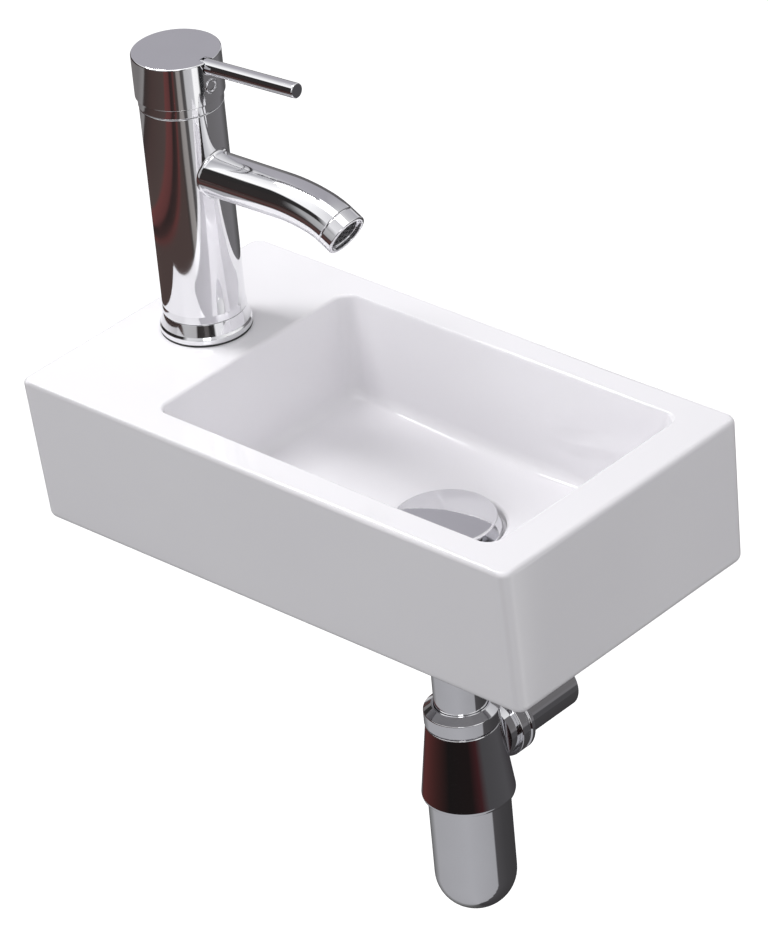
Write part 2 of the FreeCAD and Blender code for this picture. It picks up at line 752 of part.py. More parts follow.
def tap_fixing_nut():
    """Long nut on the stud."""
    top = deck_z - deck_thickness - 2 * horseshoe_thickness
    x = tap_x + stud_offset
    nut = hexagon(fixing_nut_flats, top - fixing_nut_height, top, x, tap_y)
    return nut.cut(rod(stud_radius + thread_gap, top - AWAY, top + 1, x, tap_y))


# ---------------------------------------------------------------- cartridge
def cut_ports(plate, z_low, z_high, radius=port_radius):
    """Drill the three waterways through a plate."""
    for x, y in ports:
        plate = plate.cut(rod(radius, z_low, z_high, tap_x + x, tap_y + y))
    return plate


def cartridge_port_seals():
    """Three rubber rings, one round each port, under the cartridge."""
    seals = [ring(port_seal_radius, port_radius, seat_z, seat_z + port_seal_height, tap_x + x, tap_y + y)
             for x, y in ports]
    return Part.makeCompound(seals)


def cartridge_base():
    """Plastic base plate that carries the fixed disc and the port seals."""
    top = base_z + base_plate_height
    plate = rod(shell_bore_radius - slip_gap, base_z, top, tap_x, tap_y)
    plate = cut_ports(plate, base_z - 1, top + 1)
    return cut_ports(plate, base_z - 1, seat_z + port_seal_height, port_seal_radius + slip_gap)


def cartridge_fixed_disc():
    """Ceramic disc with the three ports."""
    top = fixed_disc_z + disc_height
    return cut_ports(rod(fixed_disc_radius, fixed_disc_z, top, tap_x, tap_y), fixed_disc_z - 1, top + 1)


def cartridge_moving_disc():
    """Ceramic disc with a mixing pocket in its underside."""
    disc = rod(moving_disc_radius, moving_disc_z, moving_disc_z + disc_height, tap_x, tap_y)
    pocket = rod(moving_disc_radius * 0.6, moving_disc_z - 1, moving_disc_z + disc_height / 2, tap_x, tap_y)
    return disc.cut(pocket)


def cartridge_slider():
    """Block on the moving disc that the spindle's ball pushes."""
    half_x, half_y = slider_half_length, slider_half_width
    slider = block(tap_x - half_x, tap_x + half_x, tap_y - half_y, tap_y + half_y, slider_z, slider_z + slider_height)
    floor = pivot_z - ball_drop - ball_radius - motion_gap
    return slider.cut(rod(ball_pocket_radius, floor, slider_z + AWAY, tap_x, tap_y))


def cartridge_shell():
    """Plastic housing with a shoulder for the nut and a neck for the carrier."""
    neck_top_z = seat_z + shell_total_height
    step_z = seat_z + shell_bore_height
    outer = cartridge_bore_radius - slip_gap
    bore = carrier_radius + running_gap
    return turned([(shell_bore_radius, seat_z), (outer, seat_z), (outer, shoulder_z),
                   (shell_neck_radius, shoulder_z), (shell_neck_radius, neck_top_z),
                   (bore, neck_top_z), (bore, step_z),
                   (shell_bore_radius, step_z)], tap_x, tap_y)


def cartridge_carrier():
    """Turning part of the cartridge: guides the slider and carries the spindle's pin."""
    foot_top = carrier_foot_z + carrier_foot_height
    top = seat_z + carrier_top_height
    carrier = rod(carrier_foot_radius, carrier_foot_z, foot_top, tap_x, tap_y)
    carrier = carrier.fuse(rod(carrier_radius, carrier_foot_z, top, tap_x, tap_y))
    travel = ball_drop * math.radians(lift_limit)
    half_y = slider_half_width + motion_gap
    room_top = slider_z + slider_height + 2.2
    room = block(tap_x - slider_half_length - motion_gap, tap_x + slider_half_length + travel + motion_gap,
                 tap_y - half_y, tap_y + half_y, carrier_foot_z - 1, room_top)
    slot = block(tap_x - carrier_slot_half_length, tap_x + carrier_slot_half_length,
                 tap_y - carrier_slot_half_width, tap_y + carrier_slot_half_width, room_top - 1, top + 1)
    pin = Part.makeCylinder(pivot_pin_radius, AWAY, V(tap_x, tap_y - AWAY / 2, pivot_z), V(0, 1, 0))
    return carrier.cut(room).cut(slot).cut(pin).removeSplitter()


def cartridge_pivot_pin():
    """Steel pin that the spindle tilts on."""
    length = 2 * carrier_radius - 1
    return Part.makeCylinder(pivot_pin_radius, length, V(tap_x, tap_y - length / 2, pivot_z), V(0, 1, 0))


def cartridge_spindle():
    """Square spindle with a ball foot, pivoted on the pin."""
    ball_z = pivot_z - ball_drop
    low, high = pivot_z - spindle_block_drop, pivot_z + spindle_top
    half = spindle_half
    spindle = block(tap_x - half, tap_x + half, tap_y - half, tap_y + half, low, high)
    spindle = spindle.fuse(rod(shank_radius, ball_z, low + 1, tap_x, tap_y))
    spindle = spindle.fuse(Part.makeSphere(ball_radius, V(tap_x, tap_y, ball_z)))
    hole = Part.makeCylinder(pivot_pin_radius + pivot_pin_gap, AWAY, V(tap_x, tap_y - AWAY / 2, pivot_z), V(0, 1, 0))
    return spindle.cut(hole).removeSplitter()


def cartridge_nut():
    """Brass ring that holds the cartridge down."""
    outer = cartridge_thread_radius - thread_gap
    return ring(outer, shell_neck_radius + slip_gap, shoulder_z, shoulder_z + cartridge_nut_height, tap_x, tap_y)


def tap_collar():
    """Chromed ring that covers the cartridge nut."""
    nut_top = shoulder_z + cartridge_nut_height
    low, top = collar_bottom_z, collar_top_z
    over = cartridge_thread_radius + slip_gap
    neck = shell_neck_radius + motion_gap
    return turned([(over, low), (collar_radius - 0.5, low), (collar_radius, low + 0.5),
                   (collar_radius, top - 0.5), (collar_radius - 0.5, top), (neck, top),
                   (neck, nut_top), (over, nut_top)], tap_x, tap_y)


# ---------------------------------------------------------------- handle
def lever_frame():
    """Point where the lever's axis crosses the tap's axis, and the way the lever points."""
    rise = math.radians(lever_rise)
    aim = V(math.cos(rise), 0, math.sin(rise))
    height = lever_root_z - lever_root * math.tan(rise)
    return V(tap_x, tap_y, height), aim


def forward(profile, z):
    """Turned piece on a level axis towards the spout, from (radius, distance) points."""
    return along(turned(profile), V(tap_x, tap_y, z), V(1, 0, 0))


def handle_cap():
    """Round cap with a hub on the spindle and a web to the lever and the grub screw."""
    cap = rod(cap_radius, cap_bottom_z, cap_top_z, tap_x, tap_y)
    cap = cap.makeFillet(cap_edge_radius, edges_at(cap, cap_top_z))
    skirt_top = cap_bottom_z + cap_skirt_depth
    cap = cap.cut(rod(cap_skirt_radius, cap_bottom_z - 1, skirt_top, tap_x, tap_y))
    cap = cap.cut(rod(cap_hollow_radius, cap_bottom_z - 1, cap_top_z - cap_top_wall, tap_x, tap_y))
    hub = rod(hub_radius, cap_top_z - hub_drop, cap_top_z - 1, tap_x, tap_y)
    web = block(tap_x, tap_x + cap_radius, tap_y - web_half_width, tap_y + web_half_width,
                cap_top_z - web_drop, cap_top_z - 1)
    web = web.common(rod(cap_radius - 0.4, cap_bottom_z, cap_top_z, tap_x, tap_y))
    cap = fused(cap, hub, web)
    socket = spindle_half + thread_gap
    cap = cap.cut(block(tap_x - socket, tap_x + socket, tap_y - socket, tap_y + socket,
                        deck_z, pivot_z + spindle_top + 0.2))
    start, aim = lever_frame()
    neck = Part.makeCylinder(lever_neck_radius, AWAY, start + aim * lever_neck_root, aim)
    recess = Part.makeCylinder(lever_recess_radius, AWAY, start + aim * lever_recess_floor, aim)
    screw_hole = Part.makeCylinder(screw_radius, AWAY, V(tap_x, tap_y, button_z), V(1, 0, 0))
    button_hole = Part.makeCylinder(button_radius, AWAY, V(tap_x + button_seat, tap_y, button_z), V(1, 0, 0))
    return cap.cut(neck).cut(recess).cut(screw_hole).cut(button_hole)


def handle_lever():
    """Round lever pin with a threaded neck."""
    start, aim = lever_frame()
    edge = lever_edge_radius
    profile = [(0, lever_neck_root), (lever_neck_radius - thread_gap, lever_neck_root),
               (lever_neck_radius - thread_gap, lever_root), (lever_radius - edge, lever_root),
               (lever_radius, lever_root + edge), (lever_radius, lever_tip - edge),
               (lever_radius - 0.3 * edge, lever_tip - 0.3 * edge), (lever_radius - edge, lever_tip),
               (0, lever_tip)]
    return along(turned(profile), start, aim)


def handle_grub_screw():
    """Grub screw that clamps the cap on the spindle, with a hexagonal socket."""
    low = spindle_half + thread_gap
    screw = forward([(0, low), (screw_radius - thread_gap, low), (screw_radius - thread_gap, low + screw_length),
                     (0, low + screw_length)], button_z)
    socket = hexagon(screw_socket_flats, low + screw_length / 2, low + screw_length + 1, 0, 0)
    return screw.cut(along(socket, V(tap_x, tap_y, button_z), V(1, 0, 0)))


def handle_button():
    """Indicator button that closes the screw's hole: a bright ring round a sunk centre."""
    outer = button_radius - thread_gap
    inner = outer - button_ring
    low, face = button_seat + thread_gap, cap_radius + button_proud
    return forward([(0, low), (outer, low), (outer, face - 0.4), (outer - 0.4, face), (inner, face),
                    (inner - 0.3, face - 0.7), (0, face - 0.9)], button_z)


# ---------------------------------------------------------------- aerator
def on_spout(profile):
    """Turned piece on the mouth's axis, from (radius, distance past the spout's end) points."""
    return along(turned(profile), SPOUT_END, SPOUT_AIM)


def aerator_ring():
    """Chromed ring screwed into the spout's mouth."""
    neck, hold = aerator_thread_radius - thread_gap, aerator_insert_radius
    length, rim = aerator_ring_length, spout_radius
    wide = neck + 0.1
    return on_spout([(hold, -aerator_neck), (neck, -aerator_neck), (neck, 0.0), (rim - 0.5, 0.0),
                     (rim, 0.5), (rim, length - 0.6), (rim - 0.6, length), (wide, length),
                     (wide, length - aerator_recess), (hold, length - aerator_recess)])


def aerator_washer():
    """Rubber ring between the aerator ring and the spout."""
    low, high = -aerator_neck - aerator_washer_thickness, -aerator_neck
    outer, inner = aerator_thread_radius - 0.1, spout_bore_radius - 0.5
    return on_spout([(inner, low), (outer, low), (outer, high), (inner, high)])


def aerator_insert():
    """Plastic insert with jets in rings."""
    low, high = -aerator_neck, aerator_ring_length - aerator_recess
    insert = rod(aerator_insert_radius, low, high)
    for count, ring_number in ((1, 0), (6, 1), (12, 2)):
        for i in range(count):
            a = 2 * math.pi * i / count
            reach = ring_number * aerator_jet_pitch
            insert = insert.cut(rod(aerator_jet_radius, low - 1, high + 1, reach * math.cos(a), reach * math.sin(a)))
    return along(insert, SPOUT_END, SPOUT_AIM)


# ---------------------------------------------------------------- write every piece
PIECES = [
    basin_body,
    waste_flange_seal, waste_body, waste_under_washer, waste_back_nut,
    plug_cap, plug_seal, plug_barrel, plug_retainer, plug_stem, plug_spring,
    trap_inlet_nut, trap_inlet_washer, trap_inlet_pipe, trap_collar_nut, trap_collar_washer,
    trap_body, trap_bottle, trap_bottle_seal, trap_outlet_nut, trap_outlet_washer, trap_outlet_pipe,
    tap_body, tap_base_gasket, tap_base_ring, tap_fixing_stud, tap_fixing_gasket,
    tap_fixing_plate, tap_fixing_nut, tap_collar,
    cartridge_port_seals, cartridge_base, cartridge_fixed_disc, cartridge_moving_disc,
    cartridge_slider, cartridge_shell, cartridge_carrier, cartridge_pivot_pin,
    cartridge_spindle, cartridge_nut,
    handle_cap, handle_lever, handle_grub_screw, handle_button,
    aerator_ring, aerator_washer, aerator_insert,
]


def main():
    """Build each piece and write it to its own file."""
    os.makedirs("parts", exist_ok=True)
    for make in PIECES:
        shape = make()
        name = make.__name__
        whole = shape.isValid() and all(s.isClosed() and s.Volume > 0 for s in shape.Solids)
        print(f"{name:24s} solids {len(shape.Solids)}  volume {shape.Volume / 1000:9.3f} cm3  sound {whole}")
        shape.exportStep(f"parts/{name}.step")


main()
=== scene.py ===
"""Look of a wall hung basin: glazed ceramic, a chromed lever tap, a push plug and a bottle trap.

Sizes are in millimetres in the basin's own frame (+X along the wall, +Y into the wall, +Z up)
and become metres when a mesh is made; the studio at the end is in metres throughout.  Every new
piece is a skin: level or tilted rings of points joined into columns, with each corner of a column
rounded by an arc.
"""
from __future__ import annotations

import json
import logging
import math
from dataclasses import dataclass
from enum import Enum
from typing import Sequence

import bpy
import numpy as np
from mathutils import Matrix, Vector

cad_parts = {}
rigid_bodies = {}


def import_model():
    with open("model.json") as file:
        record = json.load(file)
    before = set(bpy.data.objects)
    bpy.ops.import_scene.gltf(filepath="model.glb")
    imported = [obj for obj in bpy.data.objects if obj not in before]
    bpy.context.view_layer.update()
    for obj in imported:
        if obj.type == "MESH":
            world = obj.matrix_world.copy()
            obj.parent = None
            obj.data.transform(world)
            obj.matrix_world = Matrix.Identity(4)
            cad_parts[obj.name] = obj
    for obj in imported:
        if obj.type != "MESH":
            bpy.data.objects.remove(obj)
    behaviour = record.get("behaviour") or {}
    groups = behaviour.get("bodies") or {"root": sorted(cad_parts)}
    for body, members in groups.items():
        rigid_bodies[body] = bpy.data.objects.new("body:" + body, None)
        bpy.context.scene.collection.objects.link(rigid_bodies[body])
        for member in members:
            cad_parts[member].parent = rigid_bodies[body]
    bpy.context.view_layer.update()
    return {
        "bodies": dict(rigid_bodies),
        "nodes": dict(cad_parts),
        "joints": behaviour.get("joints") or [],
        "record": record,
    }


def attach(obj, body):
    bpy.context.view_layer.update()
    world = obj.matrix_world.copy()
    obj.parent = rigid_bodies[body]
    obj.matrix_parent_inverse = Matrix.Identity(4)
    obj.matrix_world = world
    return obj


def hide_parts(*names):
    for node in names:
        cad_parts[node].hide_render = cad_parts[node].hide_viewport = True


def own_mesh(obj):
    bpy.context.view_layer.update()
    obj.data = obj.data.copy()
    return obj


LOG = logging.getLogger("basin")
MM = 0.001
WASTE_SPOT = (46.5, -99.0)
TAP_SPOT = (-137.0, -93.0)
# the middle of a noise, where nearly all of its values lie
NOISE_RANGE = (0.3, 0.7)
# a ring so small that it stands for a point on the axis
HUB_RADIUS = 0.02
# the most of a run that the arc at one of its ends may take
RUN_SHARE = 0.48

Colour = tuple[float, float, float]
Corner = tuple[float, float, float]
Pair = tuple[float, float]
Point = tuple[float, float, float]
Socket = bpy.types.NodeSocket


class Body(str, Enum):
    """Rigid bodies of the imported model."""

    FIXED = "fixed"
    PLUG = "plug"
    HANDLE = "handle"


class Slot(str, Enum):
    """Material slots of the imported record."""

    GLAZE = "glaze"
    CHROME = "chrome"
    BRASS = "brass"
    STEEL = "steel"
    SEAL = "seal"
    WHITE_PLASTIC = "white_plastic"
    JET_PLASTIC = "jet_plastic"
    DISC_CERAMIC = "disc_ceramic"


class Operation(Enum):
    """Ways to combine closed meshes."""

    CUT = "DIFFERENCE"
    FUSE = "UNION"


def add(name: str, data: bpy.types.ID) -> bpy.types.Object:
    """Add an object to the scene.

    Args:
        name: name of the object.
        data: its mesh, light or camera.

    Returns:
        The object.
    """
    made = bpy.data.objects.new(name, data)
    bpy.context.scene.collection.objects.link(made)
    return made


# ------------------------------------------------------------------ nodes and finishes
class Wiring:
    """Short calls for the nodes of one tree."""

    def __init__(self, tree: bpy.types.NodeTree, empty: bool = True) -> None:
        """Take up a tree.

        Args:
            tree: the node tree.
            empty: whether the nodes that it comes with are removed.
        """
        self.tree = tree
        if empty:
            tree.nodes.clear()

    def node(self, kind: str, **settings: object) -> bpy.types.Node:
        """Add a node.

        Args:
            kind: type name of the node.
            settings: its properties.

        Returns:
            The node.
        """
        made = self.tree.nodes.new(kind)
        for key, value in settings.items():
            setattr(made, key, value)
        return made

    def join(self, source: Socket, target: Socket) -> None:
        """Link an output socket to an input socket."""
        self.tree.links.new(source, target)

    def math(self, operation: str, *values: float | Socket) -> Socket:
        """Add a Math node.

        Args:
            operation: what it does.
            values: sockets or numbers for its inputs.

        Returns:
            Its result.
        """
        made = self.node("ShaderNodeMath", operation=operation)
        for socket, value in zip(made.inputs, values):
            if isinstance(value, Socket):
                self.join(value, socket)
            else:
                socket.default_value = value
        return made.outputs[0]

    def ranged(self, value: Socket, before: Pair, after: Pair = (0.0, 1.0), smooth: bool = False) -> Socket:
        """Map one range of numbers on another.

        Args:
            value: the number.
            before: range of the number.
            after: range of the result.
            smooth: whether the result eases in and out.

        Returns:
            The mapped number.
        """
        made = self.node("ShaderNodeMapRange", interpolation_type="SMOOTHSTEP" if smooth else "LINEAR")
        for name, number in zip(("From Min", "From Max", "To Min", "To Max"), (*before, *after)):
            made.inputs[name].default_value = number
        self.join(value, made.inputs["Value"])
        return made.outputs["Result"]

    def tones(self, share: Socket, stops: Sequence[tuple[float, Colour]]) -> Socket:
        """Tone by a share from 0 to 1.

        Args:
            share: the share.
            stops: positions and tones, in order.

        Returns:
            The tone.
        """
        made = self.node("ShaderNodeValToRGB")
        elements = made.color_ramp.elements
        while len(elements) < len(stops):
            elements.new(1.0)
        for element, (position, tone) in zip(elements, stops):
            element.position, element.color = position, (*tone, 1.0)
        self.join(share, made.inputs["Fac"])
        return made.outputs["Color"]

    def mix(self, factor: Socket, first: Socket, second: Socket) -> Socket:
        """Blend two shaders.

        Args:
            factor: share of the second.
            first: shader at 0.
            second: shader at 1.

        Returns:
            The blend.
        """
        made = self.node("ShaderNodeMixShader")
        for source, target in zip((factor, first, second), made.inputs):
            self.join(source, target)
        return made.outputs[0]


class Shader(Wiring):
    """A surface material under construction, with patterns on object coordinates."""

    def __init__(self, name: str) -> None:
        """Start a material.

        Args:
            name: name of the new material.
        """
        self.material = bpy.data.materials.new(name)
        self.material.use_nodes = True
        super().__init__(self.material.node_tree, empty=False)
        self.surface = self.tree.nodes["Principled BSDF"]
        self.place = self.node("ShaderNodeTexCoord")

    def set(self, **sockets: float | Sequence[float]) -> None:
        """Set plain values on the surface shader's own sockets.

        Args:
            sockets: values by socket name, with underscores in the place of spaces.
        """
        for name, value in sockets.items():
            socket = self.surface.inputs[name.replace("_", " ")]
            socket.default_value = (*value, 1.0) if isinstance(value, tuple) else value

    def noise(self, scale: float, detail: float = 3.0, stretch: Point = (1.0, 1.0, 1.0)) -> Socket:
        """Noise on object coordinates.

        Args:
            scale: frequency in cycles per metre.
            detail: octaves.
            stretch: factor on each axis.

        Returns:
            The socket that carries the noise.
        """
        mapping = self.node("ShaderNodeMapping")
        mapping.inputs["Scale"].default_value = stretch
        self.join(self.place.outputs["Object"], mapping.inputs["Vector"])
        noise = self.node("ShaderNodeTexNoise")
        noise.inputs["Scale"].default_value = scale
        noise.inputs["Detail"].default_value = detail
        self.join(mapping.outputs["Vector"], noise.inputs["Vector"])
        return noise.outputs["Fac"]

    def roughen(self, source: Socket, low: float, high: float) -> None:
        """Drive the roughness between two values.

        Args:
            source: a noise.
            low: roughness at the bottom of the noise's range.
            high: roughness at its top.
        """
        self.join(self.ranged(source, NOISE_RANGE, (low, high)), self.surface.inputs["Roughness"])

    def tint(self, source: Socket, first: Colour, second: Colour) -> None:
        """Vary the base colour between two tones.

        Args:
            source: a noise.
            first: tone at the bottom of the noise's range.
            second: tone at its top.
        """
        stops = tuple(zip(NOISE_RANGE, (first, second)))
        self.join(self.tones(source, stops), self.surface.inputs["Base Color"])

    def bump(self, source: Socket, depth: float, strength: float) -> None:
        """Raise the surface by a height map.

        Args:
            source: socket that holds the height.
            depth: height in metres at 1.
            strength: blend of the effect.
        """
        node = self.node("ShaderNodeBump")
        node.inputs["Distance"].default_value = depth
        node.inputs["Strength"].default_value = strength
        self.join(source, node.inputs["Height"])
        self.join(node.outputs["Normal"], self.surface.inputs["Normal"])


@dataclass(frozen=True)
class Glaze:
    """Clear glaze over a white body, with the faint unevenness of a fired casting."""

    tone: Colour = (0.912, 0.900, 0.925)
    shade: Colour = (0.895, 0.882, 0.910)

    def make(self) -> bpy.types.Material:
        """Make the glazed white: slow clouds of tone, and a skin that ripples a little.

        Returns:
            The material.
        """
        shader = Shader("fired_glaze")
        shader.set(Metallic=0.0, IOR=1.52)
        shader.tint(shader.noise(scale=9.0), self.tone, self.shade)
        shader.roughen(shader.noise(scale=22.0), low=0.03, high=0.065)
        shader.bump(shader.noise(scale=16.0, detail=2.0), depth=0.00035, strength=0.35)
        return shader.material


@dataclass(frozen=True)
class Chrome:
    """Bright plate, with the thin film of wiped water that makes its gloss uneven."""

    tone: Colour = (0.83, 0.83, 0.845)
    shade: float = 0.97

    def make(self) -> bpy.types.Material:
        """Make the mirror-bright plate.

        Returns:
            The material.
        """
        shader = Shader("bright_chrome")
        shader.set(Metallic=1.0)
        shader.tint(shader.noise(scale=35.0), self.tone, tuple(self.shade * c for c in self.tone))
        shader.roughen(shader.noise(scale=60.0, detail=4.0), low=0.035, high=0.075)
        shader.bump(shader.noise(scale=70.0, detail=2.0), depth=0.00002, strength=0.25)
        return shader.material


@dataclass(frozen=True)
class TurnedMetal:
    """Bare turned metal with fine tool marks round its axis."""

    name: str
    tone: Colour
    roughness: float
    shade: float = 0.82

    def make(self) -> bpy.types.Material:
        """Make the machined metal, darker and rougher in its tool marks.

        Returns:
            The material.
        """
        shader = Shader(self.name)
        shader.set(Metallic=1.0)
        marks = shader.noise(scale=900.0, detail=2.0, stretch=(0.05, 0.05, 1.0))
        shader.tint(marks, self.tone, tuple(self.shade * c for c in self.tone))
        shader.roughen(marks, low=self.roughness, high=self.roughness * 1.5)
        shader.bump(marks, depth=0.00004, strength=0.4)
        return shader.material


@dataclass(frozen=True)
class Moulding:
    """Moulded rubber, plastic or ceramic with a fine matte grain, in cycles per metre."""

    name: str
    tone: Colour
    roughness: float
    grain: float = 1400.0

    def make(self) -> bpy.types.Material:
        """Make the moulded material, a little lighter in patches.

        Returns:
            The material.
        """
        shader = Shader(self.name)
        shader.set(Metallic=0.0, IOR=1.5)
        grain = shader.noise(scale=self.grain, detail=2.0)
        lighter = tuple(min(1.0, 1.15 * c + 0.003) for c in self.tone)
        shader.tint(shader.noise(scale=80.0), self.tone, lighter)
        shader.roughen(grain, low=self.roughness, high=min(1.0, self.roughness + 0.15))
        shader.bump(grain, depth=0.00006, strength=0.5)
        return shader.material


FINISHES = {
    Slot.GLAZE: Glaze(),
    Slot.CHROME: Chrome(),
    Slot.BRASS: TurnedMetal("turned_brass", (0.74, 0.56, 0.28), 0.22),
    Slot.STEEL: TurnedMetal("plain_steel", (0.56, 0.56, 0.57), 0.26),
    Slot.SEAL: Moulding("black_rubber", (0.018, 0.018, 0.019), 0.5),
    Slot.WHITE_PLASTIC: Moulding("white_moulding", (0.80, 0.80, 0.77), 0.38),
    Slot.JET_PLASTIC: Moulding("dark_moulding", (0.035, 0.035, 0.038), 0.55, 500.0),
    Slot.DISC_CERAMIC: Moulding("lapped_ceramic", (0.86, 0.85, 0.81), 0.2, 2500.0),
}


# ------------------------------------------------------------------ skins
def full_turn(count: int) -> np.ndarray:
    """Return even angles round a full turn, in radians."""
    return np.linspace(0.0, 2 * math.pi, count, endpoint=False)


def slanted(rise: float) -> Point:
    """Return the direction in the XZ plane that rises by an angle in radians: (cos, 0, sin)."""
    return math.cos(rise), 0.0, math.sin(rise)


def slerp(first: np.ndarray, last: np.ndarray, sweep: np.ndarray, steps: int) -> np.ndarray:
    """Turn evenly between two directions: (sin((1 - s) w) first + sin(s w) last) / sin w.

    Args:
        first: directions at s = 0, (points, 3).
        last: directions at s = 1, (points, 3).
        sweep: the angle w between them, (points, 1).
        steps: steps of s from 0 to 1.

    Returns:
        Rows of directions, (steps + 1, points, 3).
    """
    share = np.linspace(0.0, 1.0, steps + 1)[:, None, None]
    return (np.sin((1 - share) * sweep) * first + np.sin(share * sweep) * last) / np.sin(sweep)


@dataclass(frozen=True)
class Axis:
    """A line in space that rings are laid round."""

    origin: Point = (0.0, 0.0, 0.0)
    aim: Point = (0.0, 0.0, 1.0)

    def basis(self) -> np.ndarray:
        """Work out the directions that a ring needs.

        Returns:
            Three unit rows: two across the axis and the axis itself.
        """
        aim = np.array(self.aim, float)
        aim /= np.linalg.norm(aim)
        side = np.cross((0.0, 0.0, 1.0), aim)
        side = np.array((1.0, 0.0, 0.0)) if np.linalg.norm(side) < 1e-6 else side / np.linalg.norm(side)
        return np.stack((side, np.cross(aim, side), aim))

    def ring(self, radius: float, along: float, count: int) -> np.ndarray:
        """Circle round the axis: origin + along * aim + radius * (side cos t + lift sin t).

        Args:
            radius: radius of the circle.
            along: distance along the axis.
            count: number of points.

        Returns:
            Points as an array (count, 3).
        """
        turn = full_turn(count)
        side, lift, aim = self.basis()
        spokes = np.outer(np.cos(turn), side) + np.outer(np.sin(turn), lift)
        return np.array(self.origin) + along * aim + radius * spokes


def round_rectangle(x_low: float, x_high: float, y_low: float, y_high: float, radius: float, z: float,
                    side_steps: int, arc_steps: int) -> np.ndarray:
    """Level rectangle with quarter-circle corners, counterclockwise from the right side.

    Each corner is its centre + radius (cos t, sin t) over a quarter turn, and each side is the
    straight blend between two corner ends, with points closer together near them.

    Args:
        x_low: left side.
        x_high: right side.
        y_low: front side.
        y_high: back side.
        radius: corner radius.
        z: height.
        side_steps: points on each side.
        arc_steps: points on each corner.

    Returns:
        Points as an array (4 * (side_steps + arc_steps), 3).
    """
    middles = [(x_high - radius, y_high - radius), (x_low + radius, y_high - radius),
               (x_low + radius, y_low + radius), (x_high - radius, y_low + radius)]
    starts = np.radians((0.0, 90.0, 180.0, 270.0))
    sweep = np.linspace(0.0, math.pi / 2, arc_steps)
    corners = [np.stack((cx + radius * np.cos(a + sweep), cy + radius * np.sin(a + sweep)), axis=1)
               for (cx, cy), a in zip(middles, starts)]
    share = (np.arange(1, side_steps + 1) / (side_steps + 1))[:, None]
    share = 0.5 - 0.5 * np.cos(math.pi * share)
    parts: list[np.ndarray] = []
    for index, corner in enumerate(corners):
        following = corners[(index + 1) % 4][0]
        parts += [corner, corner[-1] * (1 - share) + following * share]
    flat = np.concatenate(parts)
    return np.column_stack((flat, np.full(len(flat), z)))


def round_corner(before: np.ndarray, here: np.ndarray, after: np.ndarray, radius: float,
                 steps: int) -> np.ndarray:
    """Arcs in the place of one corner of every column.

    A corner with opening angle q gets an arc of radius r that touches both runs at r / tan(q / 2)
    from the corner, or just short of half a run where that is less.  The arc is the slerp between
    the two directions from its centre.

    Args:
        before: the corner before, (points, 3).
        here: the corner, (points, 3).
        after: the corner after, (points, 3).
        radius: radius of the arc.
        steps: faces along the arc.

    Returns:
        Rows of points, (steps + 1, points, 3).
    """
    run_a, run_b = before - here, after - here
    long_a, long_b = (np.linalg.norm(run, axis=1, keepdims=True) for run in (run_a, run_b))
    to_a, to_b = run_a / long_a, run_b / long_b
    opening = np.arccos(np.clip(np.sum(to_a * to_b, axis=1, keepdims=True), -1.0, 1.0))
    tangent = np.minimum(radius / np.tan(opening / 2), RUN_SHARE * np.minimum(long_a, long_b))
    bisector = to_a + to_b
    bisector /= np.maximum(np.linalg.norm(bisector, axis=1, keepdims=True), 1e-9)
    centre = here + bisector * tangent * np.tan(opening / 2) / np.sin(opening / 2)
    first, last = here + to_a * tangent - centre, here + to_b * tangent - centre
    return centre + slerp(first, last, np.maximum(math.pi - opening, 1e-6), steps)


def round_columns(rings: np.ndarray, radii: Sequence[float], arc_steps: int, spans: Sequence[int],
                  closed: bool) -> np.ndarray:
    """Turn a stack of rings into a grid whose columns bend round arcs at the rings.

    A column is a polyline through one point of every ring, with straight runs between its arcs.

    Args:
        rings: corner points, (rings, points, 3).
        radii: arc radius at each ring; 0 leaves the ring as it is.
        arc_steps: faces along each arc.
        spans: faces along the run that follows each ring.
        closed: whether the last ring joins the first.

    Returns:
        The grid, (rows, points, 3).
    """
    count = len(rings)
    arcs: list[np.ndarray] = []
    for index, here in enumerate(rings):
        if radii[index] <= 0 or (not closed and index in (0, count - 1)):
            arcs.append(here[None])
        else:
            after = rings[(index + 1) % count]
            arcs.append(round_corner(rings[index - 1], here, after, radii[index], arc_steps))
    rows = [arcs[0]]
    for index in range(count if closed else count - 1):
        following = arcs[(index + 1) % count]
        share = (np.arange(1, spans[index]) / spans[index])[:, None, None]
        rows.append(rows[-1][-1:] * (1 - share) + following[:1] * share)
        if index < count - 1:
            rows.append(following)
    return np.concatenate([row for row in rows if len(row)])


